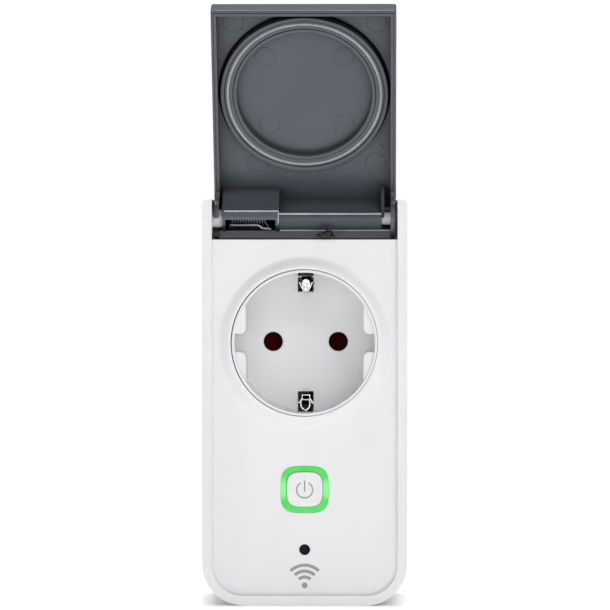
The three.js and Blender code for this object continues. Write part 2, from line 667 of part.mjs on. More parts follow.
// The space inside the lid: it leaves the plate, the free end wall and a rounded lip at the hinge.
function lidHollow() {
  const lipAngle = THREE.MathUtils.degToRad(62);
  const inner = -5.9;
  const shape = new THREE.Shape();
  shape.moveTo(LID_INNER, LID_END + LID_WALL);
  shape.lineTo(20, LID_END + LID_WALL);
  shape.lineTo(20, 20 * Math.tan(lipAngle));
  shape.lineTo(LIP_INNER * Math.cos(lipAngle), LIP_INNER * Math.sin(lipAngle));
  shape.absarc(0, 0, LIP_INNER, lipAngle, Math.PI / 2);
  shape.lineTo(inner, LIP_INNER);
  shape.absarc(inner, LIP_INNER - (inner - LID_INNER), inner - LID_INNER, Math.PI / 2, Math.PI);
  return shape;
}

// The thin cover over the hinge spring, drawn in by `inset`: a wall off the plate as far as its
// shoulder, a slope to its crease, and then a curve around the coil.
function hoodCurve(inset) {
  return {
    reach: KNUCKLE_RADIUS - 1.1 - inset,
    shoulder: [HOOD_SHOULDER[0] + inset * 0.4, HOOD_SHOULDER[1] + inset],
    crease: [HOOD_CREASE[0] - inset * 0.6, HOOD_CREASE[1] + inset * 0.8],
  };
}

function springHood() {
  const outside = hoodCurve(0);
  const back = LID_INNER - 0.1;
  const foot = LIP_INNER + 0.2;
  const outer = polygon([[back, outside.shoulder[1]], outside.shoulder, outside.crease]);
  outer.absarc(0, 0, outside.reach, Math.atan2(outside.crease[1], outside.crease[0]), 0);
  outer.lineTo(1.5, foot);
  outer.lineTo(back, foot);
  const inside = hoodCurve(HOOD_WALL);
  const mouthAngle = THREE.MathUtils.degToRad(-22);
  const far = KNUCKLE_RADIUS + 2.3;
  const inner = polygon([[LID_INNER, inside.shoulder[1]], inside.shoulder, inside.crease]);
  inner.absarc(0, 0, inside.reach, Math.atan2(inside.crease[1], inside.crease[0]), mouthAngle);
  inner.lineTo(far, far * Math.tan(mouthAngle));
  inner.lineTo(far, far);
  inner.lineTo(LID_INNER, far);
  return solid(section(outer, [HOOD_LEFT, HOOD_RIGHT]))
    .subtract(solid(section(inner, [HOOD_LEFT + HOOD_WALL, HOOD_RIGHT - HOOD_WALL])));
}

// Two walls in one ring, with the seal's groove between them.
function sealCollar() {
  const back = LID_INNER - 0.2;
  const floor = LID_INNER + 0.2;
  const [inner, innerGroove] = COLLAR_INNER_RADIUS;
  const [outerGroove, outer] = COLLAR_OUTER_RADIUS;
  return turned([[inner, back], [outer, back], [outer, COLLAR_TOP], [outerGroove, COLLAR_TOP],
    [outerGroove, floor], [innerGroove, floor], [innerGroove, COLLAR_TOP], [inner, COLLAR_TOP],
  ]).translate(0, 0, -AXIS_Z);
}

function lidCover() {
  const side = LID_HALF_WIDTH - LID_WALL;
  const shell = solid(section(lidOuterSection(), [-LID_HALF_WIDTH, LID_HALF_WIDTH]))
    .subtract(solid(section(lidHollow(), [-side, side])));
  const rib = solid(box([HOOD_RIGHT - 0.5, HUB_X + 0.5], [LID_INNER - 0.1, -0.4], [-1.6, -0.6]));
  const hub = solid(section(polygon([[LID_INNER - 0.1, NECK_Z], [LID_CREST, -5.3], [-0.4, -2.6],
    [2.5, -1.5], [2.5, 1.5], [1.2, LIP_INNER + 0.2], [LID_INNER - 0.1, LIP_INNER + 0.2]]),
  [HUB_X, HUB_X + HOOD_WALL]));
  const edge = [LID_HALF_WIDTH + 1, side - 0.5];
  const cuts = [
    shaft(HINGE_PIN_LEFT_RADIUS + GAP, [-edge[0], HOOD_LEFT + 1.5], 0, 0),
    shaft(HINGE_PIN_RIGHT_RADIUS + GAP, [HUB_X - 0.5, edge[0]], 0, 0),
    snapSlot(HINGE_PIN_LEFT_RADIUS + GAP, [-edge[0], -edge[1]], -29),
    snapSlot(HINGE_PIN_RIGHT_RADIUS + GAP, [HUB_X - 0.5, HUB_X + 1.4], -40),
    box([3.9, 8], [-1, 6], [LIP_INNER + 0.9, KNUCKLE_RADIUS + 1]),
  ];
  let cover = shell.add(rib).add(hub).add(springHood()).add(solid(sealCollar()));
  for (const geometry of cuts) {
    cover = cover.subtract(solid(geometry));
  }
  return geometryOf(cover);
}

// The soft ring in the groove, with the ridge that lands on the cone around the socket.
function lidSeal() {
  const back = LID_INNER + 0.2 + GAP;
  const inner = COLLAR_INNER_RADIUS[1] + 0.4;
  const outer = COLLAR_OUTER_RADIUS[0] - 0.4;
  const shoulder = COLLAR_TOP - 0.1;
  const ridge = COLLAR_TOP + 0.4;
  return turned([[inner, back], [outer, back], [outer, shoulder], [SEAL_RIDGE_RADIUS + 0.2, ridge],
    [SEAL_RIDGE_RADIUS - 0.2, ridge], [inner, shoulder]]).translate(0, 0, -AXIS_Z);
}

const SPRING_X = [-21.6, -10];
const SPRING_RADIUS = 2.9;
const SPRING_WIRE = 0.45;
const SPRING_TURNS = 9;

// The coil that turns about the hinge axis.
class Helix extends THREE.Curve {
  getPoint(t) {
    const angle = t * SPRING_TURNS * 2 * Math.PI;
    return new THREE.Vector3(
      SPRING_X[0] + t * (SPRING_X[1] - SPRING_X[0]),
      SPRING_RADIUS * Math.cos(angle), SPRING_RADIUS * Math.sin(angle),
    );
  }
}

function hingeSpring() {
  const wire = new THREE.Shape();
  wire.absarc(0, 0, SPRING_WIRE, 0, 2 * Math.PI);
  return new THREE.ExtrudeGeometry(wire, {
    steps: SPRING_TURNS * 9, curveSegments: 3, extrudePath: new Helix(), bevelEnabled: false,
  });
}

addPiece('lid_cover', lidCover(), GREY_PLASTIC, lid);
addPiece('lid_seal', lidSeal(), GREY_RUBBER, lid);
addPiece('hinge_spring', hingeSpring(), STEEL, lid);
addPiece('hinge_pin_left', shaft(HINGE_PIN_LEFT_RADIUS, [-BODY_HALF_WIDTH + 1.3, HOOD_LEFT + 0.7],
  AXIS_Y, AXIS_Z), WHITE_PLASTIC);
addPiece('hinge_pin_right', shaft(HINGE_PIN_RIGHT_RADIUS, [HUB_X - 0.1, BODY_HALF_WIDTH - 1.3],
  AXIS_Y, AXIS_Z), WHITE_PLASTIC);

export default plug;
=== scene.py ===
import json
import random
from math import acos, asin, atan2, copysign, cos, degrees, hypot, pi, radians, sin, tan

import bmesh
import bpy
from mathutils import Matrix, Vector


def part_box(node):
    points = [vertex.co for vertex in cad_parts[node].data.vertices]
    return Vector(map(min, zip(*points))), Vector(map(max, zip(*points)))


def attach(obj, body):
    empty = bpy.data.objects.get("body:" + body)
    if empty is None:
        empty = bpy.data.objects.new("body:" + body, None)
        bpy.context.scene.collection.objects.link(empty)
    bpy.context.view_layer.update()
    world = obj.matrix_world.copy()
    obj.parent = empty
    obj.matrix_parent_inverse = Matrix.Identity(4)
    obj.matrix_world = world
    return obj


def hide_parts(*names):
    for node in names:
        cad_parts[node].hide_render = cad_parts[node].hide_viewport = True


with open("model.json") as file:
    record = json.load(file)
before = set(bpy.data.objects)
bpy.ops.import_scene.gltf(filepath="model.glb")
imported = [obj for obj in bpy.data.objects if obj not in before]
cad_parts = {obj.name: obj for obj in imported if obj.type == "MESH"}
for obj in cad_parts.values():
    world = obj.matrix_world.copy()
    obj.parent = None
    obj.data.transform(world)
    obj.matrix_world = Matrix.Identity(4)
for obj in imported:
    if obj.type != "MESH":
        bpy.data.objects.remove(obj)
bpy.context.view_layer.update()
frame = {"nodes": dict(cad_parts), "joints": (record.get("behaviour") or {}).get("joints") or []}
random.seed(7)

MM = 0.001


# ---- places, worked out from the frame (all in millimetres) ----

def corners(node):
    """The lowest and highest corner of a CAD node, in millimetres."""
    low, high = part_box(node)
    return low / MM, high / MM


joints = {joint["name"]: joint for joint in frame["joints"]}
SHELL_LOW, SHELL_HIGH = corners("front_shell")
REAR_LOW, REAR_HIGH = corners("rear_shell")
SOCKET_LOW, SOCKET_HIGH = corners("socket_insert")
RING_LOW, RING_HIGH = corners("light_ring")
CAP_LOW, CAP_HIGH = corners("button_cap")
PLUG_LOW, PLUG_HIGH = corners("plug_base")
WINDOW_LOW, WINDOW_HIGH = corners("indicator_window")
PIN_LOW, PIN_HIGH = corners("plug_pin_right")
LEFT_PIN_LOW, LEFT_PIN_HIGH = corners("hinge_pin_left")
RIGHT_PIN_LOW, RIGHT_PIN_HIGH = corners("hinge_pin_right")
LID_AXIS = Vector(joints["lid_hinge"]["pos_m"]) / MM
LID_OPEN = radians(joints["lid_hinge"]["range_deg"][1])

HALF_WIDTH = SHELL_HIGH.x
BODY_TOP = SHELL_HIGH.z
BODY_BOTTOM = SHELL_LOW.z
PARTING_Y = SHELL_HIGH.y
SOCKET_RIM_Y = SOCKET_LOW.y
FACE_Y = RING_LOW.y
RIM_HEIGHT = 1.2
RIM_Y = FACE_Y - RIM_HEIGHT
SOCKET_FLOOR = 2
SOCKET_FLOOR_Y = SOCKET_HIGH.y - SOCKET_FLOOR
SOCKET_RADIUS = 20.2
SOCKET_OUTER = SOCKET_HIGH.x
PIN_X = (PIN_LOW.x + PIN_HIGH.x) / 2
PIN_RADIUS = (PIN_HIGH.x - PIN_LOW.x) / 2
PLUG_RADIUS = 18.9
BUTTON_Z = (CAP_LOW.z + CAP_HIGH.z) / 2
INDICATOR_Z = (WINDOW_LOW.z + WINDOW_HIGH.z) / 2
INDICATOR_RADIUS = 1.6
RING_FLANGE = 1.4
RING_BAND = 1.6
RING_HALF_WIDTH = RING_HIGH.x - RING_FLANGE
RING_HALF_HEIGHT = RING_HIGH.z - BUTTON_Z - RING_FLANGE

WALL = 2.2
CORNER = 12
RECESS_HALF = 26.7
RECESS_BOTTOM = BODY_BOTTOM + 2.8
RECESS_CORNER = 8.8
NOTCH_FLOOR = LID_AXIS.z - 6.1
NOTCH_BACK_Y = LID_AXIS.y + 12.8

FINE = 96       # sides of a turned body
FINEST = 160    # sides of the large ones, whose outlines show
PAST = 1        # how far a cutting tool reaches past what it cuts


# ---- mesh helpers ----

def link(name, data):
    obj = bpy.data.objects.new(name, data)
    bpy.context.scene.collection.objects.link(obj)
    return obj


def to_object(bm):
    """A new object, still in millimetres, with its faces turned outwards."""
    bmesh.ops.remove_doubles(bm, verts=bm.verts, dist=1e-5)
    bmesh.ops.recalc_face_normals(bm, faces=bm.faces)
    mesh = bpy.data.meshes.new("piece")
    bm.to_mesh(mesh)
    bm.free()
    return link("piece", mesh)


def place(axis, along, a, b):
    """A point at `along` on the named axis, with a and b on the other two in X, Y, Z order."""
    if axis == "X":
        return Vector((along, a, b))
    if axis == "Y":
        return Vector((a, along, b))
    return Vector((a, b, along))


def prism(outline, low, high, axis="Y"):
    """A flat outline given thickness along an axis."""
    bm = bmesh.new()
    rings = []
    for along in (low, high):
        rings.append([bm.verts.new(place(axis, along, a, b)) for a, b in outline])
    count = len(outline)
    for index in range(count):
        after = (index + 1) % count
        bm.faces.new((rings[0][index], rings[0][after], rings[1][after], rings[1][index]))
    bm.faces.new(rings[0])
    bm.faces.new(rings[1])
    return to_object(bm)


def block(x, y, z):
    """A box from its low and high values along X, Y and Z."""
    return prism([(x[0], z[0]), (x[1], z[0]), (x[1], z[1]), (x[0], z[1])], y[0], y[1])


def turned(profile, a=0.0, b=0.0, axis="Y", segments=FINE):
    """A body turned about an axis through (a, b), from (radius, along) points.

    The profile starts and ends on the axis, or else it closes on itself.
    """
    bm = bmesh.new()
    rings = []
    for radius, along in profile:
        if radius == 0:
            rings.append([bm.verts.new(place(axis, along, a, b))])
            continue
        ring = []
        for step in range(segments):
            angle = 2 * pi * step / segments
            ring.append(bm.verts.new(place(
                axis, along, a + radius * cos(angle), b + radius * sin(angle))))
        rings.append(ring)
    spans = list(zip(rings, rings[1:]))
    if len(rings[0]) > 1:
        spans.append((rings[-1], rings[0]))
    for one, other in spans:
        for step in range(segments):
            after = (step + 1) % segments
            corners_of_face = [one[step % len(one)], one[after % len(one)],
                               other[after % len(other)], other[step % len(other)]]
            unique = list(dict.fromkeys(corners_of_face))
            if len(unique) > 2:
                bm.faces.new(unique)
    return to_object(bm)


def rod(radius, low, high, a=0.0, b=0.0, axis="Y", segments=FINE):
    return turned([(0, low), (radius, low), (radius, high), (0, high)], a, b, axis, segments)


def arc(centre, radius, start, end, steps=8):
    """Points on an arc, with its angles in degrees."""
    points = []
    for step in range(steps + 1):
        angle = radians(start + (end - start) * step / steps)
        points.append((centre[0] + radius * cos(angle), centre[1] + radius * sin(angle)))
    return points


def rounded_rectangle(a, b, low_radius, high_radius=None, steps=12):
    """A rectangle over the spans a and b, with one corner radius below and another above."""
    high = low_radius if high_radius is None else high_radius
    return (arc((a[1] - low_radius, b[0] + low_radius), low_radius, -90, 0, steps)
            + arc((a[1] - high, b[1] - high), high, 0, 90, steps)
            + arc((a[0] + high, b[1] - high), high, 90, 180, steps)
            + arc((a[0] + low_radius, b[0] + low_radius), low_radius, 180, 270, steps))


def body_outline(inset):
    """The body's outline drawn in by `inset`: wide corners below and tight ones on the ears."""
    ear_corner = 1.5
    least_corner = 0.5
    half = HALF_WIDTH - inset
    return rounded_rectangle((-half, half), (BODY_BOTTOM + inset, BODY_TOP - inset),
                             CORNER - inset, max(ear_corner - inset, least_corner))


def button_outline(inset, steps=96):
    """The light ring's outline drawn in by `inset`: a square with full, soft corners."""
    power = 2 / 3.5
    outline = []
    for step in range(steps):
        angle = 2 * pi * (step + 0.5) / steps
        across = cos(angle)
        up = sin(angle)
        outline.append((copysign(abs(across) ** power, across) * (RING_HALF_WIDTH - inset),
                        copysign(abs(up) ** power, up) * (RING_HALF_HEIGHT - inset)
                        + BUTTON_Z))
    return outline


def modify(obj, kind, **settings):
    """Gives the object a modifier with these settings, and applies it."""
    modifier = obj.modifiers.new("change", kind)
    for key, value in settings.items():
        setattr(modifier, key, value)
    graph = bpy.context.evaluated_depsgraph_get()
    mesh = bpy.data.meshes.new_from_object(obj.evaluated_get(graph))
    obj.modifiers.clear()
    old = obj.data
    obj.data = mesh
    bpy.data.meshes.remove(old)
    return obj


def combine(obj, tools, operation):
    """Adds the tools to a piece or cuts them from it, one by one, and uses them up."""
    for tool in tools:
        modify(obj, "BOOLEAN", operation=operation, solver="EXACT", object=tool)
        mesh = tool.data
        bpy.data.objects.remove(tool)
        bpy.data.meshes.remove(mesh)
    return obj


def cut(obj, *tools):
    return combine(obj, tools, "DIFFERENCE")


def join(obj, *tools):
    return combine(obj, tools, "UNION")


def clean(obj):
    """Merges the slivers that cuts leave, and joins faces that lie in one plane."""
    sliver = 0.004
    flat = radians(0.6)
    bm = bmesh.new()
    bm.from_mesh(obj.data)
    bmesh.ops.remove_doubles(bm, verts=bm.verts, dist=sliver)
    bmesh.ops.dissolve_limit(bm, angle_limit=flat, verts=bm.verts, edges=bm.edges)
    bm.to_mesh(obj.data)
    bm.free()
    return obj


def round_edges(obj, width, segments, angle=50):
    """Rounds the edges sharper than `angle`."""
    return modify(clean(obj), "BEVEL", width=width, segments=segments, limit_method="ANGLE",
                  angle_limit=radians(angle), use_clamp_overlap=True, miter_outer="MITER_ARC")


def smooth(obj, angle):
    """Smooth shading that keeps edges sharper than `angle`."""
    for face in obj.data.polygons:
        face.use_smooth = True
    obj.data.set_sharp_from_angle(angle=radians(angle))
    modify(obj, "WEIGHTED_NORMAL", keep_sharp=True, weight=80)


def finish_piece(obj, name, material, body, *nodes, slot=None, sharp=32, move=None):
    """Shades and moves a piece, scales it to metres, gives it its name and body, and hides its CAD
    nodes.

    Edges above the angle `sharp` stay sharp, and None leaves out the smoothing. The slot argument
    is not used. The scaling spoils the shading normals, so they are kept beforehand and set again.
    Large or unbent faces stay flat.
    """
    if sharp:
        smooth(obj, sharp)
    mesh = obj.data
    if move:
        mesh.transform(move)
    mesh.validate()
    normals = [corner.vector.copy() for corner in mesh.corner_normals]
    bent = 0.01
    large = 60
    curved = [face.area < large
              and any((normals[corner] - face.normal).length > bent for corner in face.loop_indices)
              for face in mesh.polygons]
    mesh.transform(Matrix.Scale(MM, 4))
    for face, is_curved in zip(mesh.polygons, curved):
        face.use_smooth = is_curved
    mesh.normals_split_custom_set(normals)
    obj.name = name
    mesh.name = name
    mesh.materials.clear()
    mesh.materials.append(material)
    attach(obj, body)
    if nodes:
        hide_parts(*nodes)


# ---- materials ----

class Nodes:
    """A small helper for writing a material's node tree."""

    def __init__(self, name):
        self.material = bpy.data.materials.new(name)
        self.material.use_nodes = True
        self.tree = self.material.node_tree
        self.shader = self.tree.nodes["Principled BSDF"]
        self.coords = self.tree.nodes.new("ShaderNodeTexCoord").outputs["Object"]

    def add(self, kind, inputs=(), **settings):
        node = self.tree.nodes.new(kind)
        for key, value in settings.items():
            setattr(node, key, value)
        for socket, value in dict(inputs).items():
            self.feed(node.inputs[socket], value)
        return node

    def feed(self, socket, value):
        if isinstance(value, bpy.types.NodeSocket):
            self.tree.links.new(value, socket)
        else:
            socket.default_value = value

    def set(self, name, value):
        """Gives one of the shader's inputs a value or a link."""
        self.feed(self.shader.inputs[name], value)

    def noise(self, scale, detail=3.0, roughness=0.55, stretch=None):
        vector = self.coords
        if stretch:
            vector = self.add("ShaderNodeMapping", {"Vector": vector, "Scale": stretch}).outputs[0]
        node = self.add("ShaderNodeTexNoise", {
            "Vector": vector, "Scale": scale, "Detail": detail, "Roughness": roughness})
        return node.outputs["Fac"]

    def ranged(self, value, low=0.0, high=1.0, start=0.3, end=0.7):
        """Brings values between start and end to between low and high, softly."""
        node = self.add("ShaderNodeMapRange", {
            "Value": value, "From Min": start, "From Max": end, "To Min": low, "To Max": high},
            interpolation_type="SMOOTHSTEP")
        return node.outputs["Result"]

    def maths(self, operation, *values, clamp=False):
        node = self.add("ShaderNodeMath", operation=operation, use_clamp=clamp)
        for index, value in enumerate(values):
            self.feed(node.inputs[index], value)
        return node.outputs[0]

    def mix(self, factor, one, other):
        """A blend of two colours, whose sockets come after those for plain numbers."""
        node = self.add("ShaderNodeMix", {"Factor": factor, 6: one, 7: other}, data_type="RGBA")
        return node.outputs[2]

    def bump(self, height, strength, distance):
        inputs = {"Height": height, "Strength": strength, "Distance": distance}
        return self.add("ShaderNodeBump", inputs).outputs["Normal"]


def rgba(red, green, blue):
    """A colour given as screen values from 0 to 255."""
    def linear(value):
        value /= 255
        return value / 12.92 if value <= 0.04045 else ((value + 0.055) / 1.055) ** 2.4
    return (linear(red), linear(green), linear(blue), 1.0)


def plastic(name, colour, shade, roughness, grain=0.02, coat=0.0, sheen_spots=0.05, ior=1.5,
            painted_corner_shade=0.0):
    """Moulded plastic: a fine spark-eroded grain, faint flow marks and an uneven sheen.

    The last argument sets how much darker the colour is painted in corners and hollows, as painted
    shade.
    """
    n = Nodes(name)
    flow = n.noise(38, 4, 0.6, (1, 1, 0.35))
    cloud = n.noise(110, 2)
    base = n.mix(n.ranged(flow, 0.0, 1.0, 0.35, 0.65), colour, shade)
    # Painted shade: the colour darkens where ambient occlusion finds nearby surfaces, in corners
    # and hollows.
    if painted_corner_shade:
        reach = 7 * MM
        open_air = n.add("ShaderNodeAmbientOcclusion", {"Distance": reach}, samples=8)
        corner_shade_colour = tuple(part * (1 - painted_corner_shade) for part in shade[:3]) + (1,)
        base = n.mix(n.ranged(open_air.outputs["AO"], 0.0, 1.0, 0.35, 0.98), corner_shade_colour, base)
    n.set("Base Color", base)
    n.set("Roughness", n.ranged(cloud, roughness - sheen_spots, roughness + sheen_spots))
    fine = n.noise(5200, 2, 0.5)
    soft = n.noise(420, 3)
    height = n.maths("MULTIPLY_ADD", fine, 0.9, n.maths("MULTIPLY", soft, 0.1))
    n.set("Normal", n.bump(height, 0.3, grain * MM))
    n.set("IOR", ior)
    n.set("Coat Weight", coat)
    n.set("Coat Roughness", 0.15)
    return n.material


def metal(name, colour, shade, roughness, stretch=(1, 1, 1), scratches=0.02):
    """Plated or drawn metal with fine lines along it and small dull patches."""
    n = Nodes(name)
    patches = n.noise(260, 4)
    n.set("Base Color", n.mix(n.ranged(patches), colour, shade))
    lines = n.noise(1400, 3, 0.7, stretch)
    n.set("Roughness", n.ranged(lines, roughness * 0.7, roughness * 1.5))
    n.set("Metallic", 1.0)
    n.set("Normal", n.bump(lines, 0.3, scratches * MM))
    return n.material


def rubber(name, colour, shade, roughness):
    n = Nodes(name)
    bloom = n.noise(150, 5, 0.65)
    n.set("Base Color", n.mix(n.ranged(bloom), colour, shade))
    n.set("Roughness", n.ranged(n.noise(500, 2), roughness - 0.1, roughness + 0.08))
    n.set("Normal", n.bump(n.noise(2600, 3), 0.5, 0.02 * MM))
    return n.material


WHITE = rgba(226, 226, 227)
WHITE_SHADE = rgba(222, 222, 223)
SLATE = rgba(76, 81, 88)
SLATE_SHADE = rgba(72, 77, 84)

white_plastic = plastic("white_plastic", WHITE, WHITE_SHADE, 0.42, grain=0.012)
flash_plastic = plastic("flash_plastic", rgba(17, 18, 20), rgba(9, 10, 11), 0.22, grain=0.04)
socket_plastic = plastic("socket_plastic", WHITE, WHITE_SHADE, 0.5, grain=0.012)
button_plastic = plastic("button_plastic", rgba(224, 225, 224), rgba(220, 221, 220), 0.3,
                         grain=0.004, coat=0.1)
# The lid's plastic has painted shade in its corners and hollows.
lid_plastic = plastic("lid_plastic", SLATE, SLATE_SHADE, 0.3, grain=0.006, sheen_spots=0.01,
                      painted_corner_shade=0.65)
shutter_plastic = plastic("shutter_plastic", rgba(50, 1, 1), rgba(42, 0, 0), 0.65, grain=0.01,
                          ior=1.08)
# Near-black for painted shadow, in the pin holes and round the lid's collar.
painted_shadow_black = plastic("painted_shadow_black", rgba(9, 9, 10), rgba(5, 5, 6), 0.6, grain=0.004, ior=1.15)
black_plastic = plastic("black_plastic", rgba(28, 29, 31), rgba(20, 21, 23), 0.5, grain=0.02)
nickel = metal("nickel", rgba(196, 195, 190), rgba(168, 167, 162), 0.24, (1, 0.05, 1))
brass = metal("brass", rgba(190, 156, 92), rgba(160, 126, 70), 0.32, (1, 1, 0.05))
steel = metal("steel", rgba(150, 152, 155), rgba(120, 122, 126), 0.3, (0.1, 1, 1))
dark_steel = metal("dark_steel", rgba(96, 98, 101), rgba(74, 76, 79), 0.35, (0.1, 1, 1))
lid_rubber = rubber("lid_rubber", rgba(82, 87, 94), SLATE, 0.5)
# Lighter rubber for the seal's ridge: partly its own lighter tone and partly a painted highlight
# along the ridge.
ridge_highlight_rubber = rubber("seal_ridge_highlight_rubber", rgba(160, 161, 160), rgba(142, 144, 146), 0.3)
# Light slate for painted highlights along the hinge's crests.
highlight_slate = plastic("painted_highlight_edge", rgba(196, 200, 204), rgba(150, 155, 162), 0.25, grain=0.01)
# Painted shade: the barrel's plastic is darker than the lid's, for the shade it lies in under the
# rib.
barrel_shade_plastic = plastic("hinge_barrel_shade_plastic", rgba(58, 62, 69), rgba(52, 56, 63), 0.35,
                         grain=0.01)
bright_nickel = metal("bright_nickel", rgba(205, 204, 200), rgba(176, 175, 169), 0.3)
# Painted shade: near-black metal for the earth bridge, which lies in shade deep behind the well's
# floor.
painted_shade_steel = metal("painted_shade_steel", rgba(26, 26, 30), rgba(18, 18, 21), 0.5)
seal_rubber = rubber("seal_rubber", rgba(160, 163, 167), rgba(146, 149, 153), 0.75)
window_material = plastic("dark_window", rgba(12, 12, 16), rgba(7, 7, 10), 0.5, grain=0.002,
                          ior=1.25)
ink = plastic("grey_ink", rgba(150, 149, 148), rgba(142, 141, 140), 0.6, grain=0.004)


def light_guide():
    """Milky green plastic lit from behind, brightest beside its two light sources."""
    n = Nodes("light_guide")
    middle = Vector((0, 0, BUTTON_Z)) * MM
    offset = n.add("ShaderNodeVectorMath", {0: n.coords, 1: tuple(middle)}, operation="SUBTRACT")
    parts = n.add("ShaderNodeSeparateXYZ", {0: offset.outputs[0]})
    across = n.maths("ABSOLUTE", parts.outputs["X"])
    up = n.maths("ABSOLUTE", parts.outputs["Z"])
    near = n.maths("MULTIPLY", n.ranged(up, 1.0, 0.0, 0.3 * MM, 4.2 * MM),
                   n.ranged(across, 0.0, 1.0, 4.0 * MM, 6.0 * MM))
    uneven = n.ranged(n.noise(300, 3), 0.0, 0.25)
    glow = n.maths("ADD", near, uneven, clamp=True)
    colour = n.mix(glow, rgba(40, 190, 62), rgba(112, 226, 122))
    n.set("Base Color", colour)
    n.set("Emission Color", colour)
    n.set("Emission Strength", 0.25)
    n.set("Roughness", n.ranged(n.noise(900, 2), 0.3, 0.4))
    n.set("Normal", n.bump(n.noise(2400, 2), 0.3, 0.008 * MM))
    return n.material


def board_material():
    """Green solder mask with copper tracks showing through as darker and lighter lines."""
    n = Nodes("circuit_board")
    cells = n.add("ShaderNodeTexBrick", {"Vector": n.coords, "Scale": 240.0})
    tracks = n.mix(n.ranged(cells.outputs["Fac"], 0.0, 1.0, 0.2, 0.8),
                   rgba(30, 96, 58), rgba(22, 72, 44))
    n.set("Base Color", tracks)
    n.set("Roughness", n.ranged(n.noise(700, 2), 0.35, 0.5))
    return n.material


ring_material = light_guide()
board_green = board_material()


# ---- housing ----

SEAT_START = 21.5
SEAT_END = 25.1


def seat_point(share):
    """A point on the soft slope from the socket's edge down to the face."""
    drop = (1 - cos(pi * share)) / 2
    return (SEAT_START + (SEAT_END - SEAT_START) * share,
            SOCKET_RIM_Y + (FACE_Y - 0.01 - SOCKET_RIM_Y) * drop)


def make_front_shell():
    """The face and its raised rims, cut out for the recess, the lid's notch and the openings."""
    recess_foot = 1.1
    rim_edge = 0.55
    opening_edge = 0.12
    inner_y = FACE_Y + WALL
    half = HALF_WIDTH - WALL
    shell = prism(body_outline(0), RIM_Y, PARTING_Y)
    recess = rounded_rectangle((-RECESS_HALF, RECESS_HALF), (RECESS_BOTTOM, BODY_TOP + 20),
                               RECESS_CORNER)
    cut(shell,
        round_edges(prism(recess, RIM_Y - 4, FACE_Y), recess_foot, 6, 60),
        block((-RECESS_HALF, RECESS_HALF), (RIM_Y - 5, NOTCH_BACK_Y), (NOTCH_FLOOR, BODY_TOP + 5)))
    round_edges(shell, rim_edge, 4, 40)
    seat_inner = SOCKET_OUTER - 2
    seat = turned([(seat_inner, inner_y), (seat_inner, SOCKET_RIM_Y)]
                  + [seat_point(step / 16) for step in range(17)]
                  + [(SEAT_END, inner_y)], segments=FINEST)
    join(shell, seat)
    cavity = rounded_rectangle((-half, half), (BODY_BOTTOM + WALL, NOTCH_FLOOR - WALL),
                               CORNER - WALL, 1)
    cut(shell, prism(cavity, inner_y, PARTING_Y + PAST),
        prism(body_outline(WALL), NOTCH_BACK_Y + WALL, PARTING_Y + PAST))
    collar_inner = SOCKET_OUTER + 0.05
    collar_outer = SOCKET_OUTER + 1.6
    collar_low = inner_y - 1
    collar_high = inner_y + 6
    join(shell, turned([(collar_inner, collar_low), (collar_outer, collar_low),
                        (collar_outer, collar_high), (collar_inner, collar_high)],
                       segments=FINEST))
    # The seam round the socket lies a little off centre.
    seam = 0.16
    seam_x = -0.09
    seam_z = 0.03
    pin_gap = 0.05
    cut(shell,
        rod(SOCKET_OUTER + seam, SOCKET_RIM_Y - 2, collar_high + PAST, seam_x, seam_z,
            segments=FINEST),
        prism(button_outline(-0.07), FACE_Y - 2, inner_y + PAST),
        rod(INDICATOR_RADIUS, FACE_Y - 2, inner_y + PAST, 0, INDICATOR_Z, segments=48))
    for side, high in ((-1, LEFT_PIN_HIGH), (1, RIGHT_PIN_HIGH)):
        ends = sorted((side * (HALF_WIDTH - 1), side * (RECESS_HALF - 1)))
        cut(shell, rod(high.y - LID_AXIS.y + pin_gap, *ends, LID_AXIS.y, LID_AXIS.z, "X", 48))
    round_edges(shell, opening_edge, 2)
    finish_piece(shell, "front_housing", white_plastic, "housing", "front_shell")


SCREWS = {name: corners(f"housing_screw_{name}")
          for name in ("upper_left", "upper_right", "lower_left", "lower_right")}


def middle_of(low, high):
    return (low + high) / 2


def make_rear_shell():
    low_y = REAR_LOW.y
    high_y = REAR_HIGH.y
    floor_y = high_y - WALL
    outer_edge = 1.6
    plug_gap = 0.15
    head_well = 3.0
    head_well_depth = 3.2
    shank_hole = 1.6
    boss = 3.6
    shell = prism(body_outline(0), low_y, high_y)
    round_edges(shell, outer_edge, 6, 40)
    cut(shell, prism(body_outline(WALL), low_y - PAST, floor_y))
    holes = [rod(PLUG_RADIUS + plug_gap, floor_y - PAST, high_y + PAST, segments=128)]
    for low, high in SCREWS.values():
        x, _, z = middle_of(low, high)
        holes.append(rod(head_well, high_y - head_well_depth, high_y + PAST, x, z, segments=48))
        holes.append(rod(shank_hole, floor_y - PAST, high_y + PAST, x, z, segments=32))
        join(shell, rod(boss, low_y + 0.1, high_y - 0.6, x, z, segments=48))
    cut(shell, *holes)
    round_edges(shell, 0.2, 2)
    finish_piece(shell, "rear_housing", white_plastic, "housing", "rear_shell")


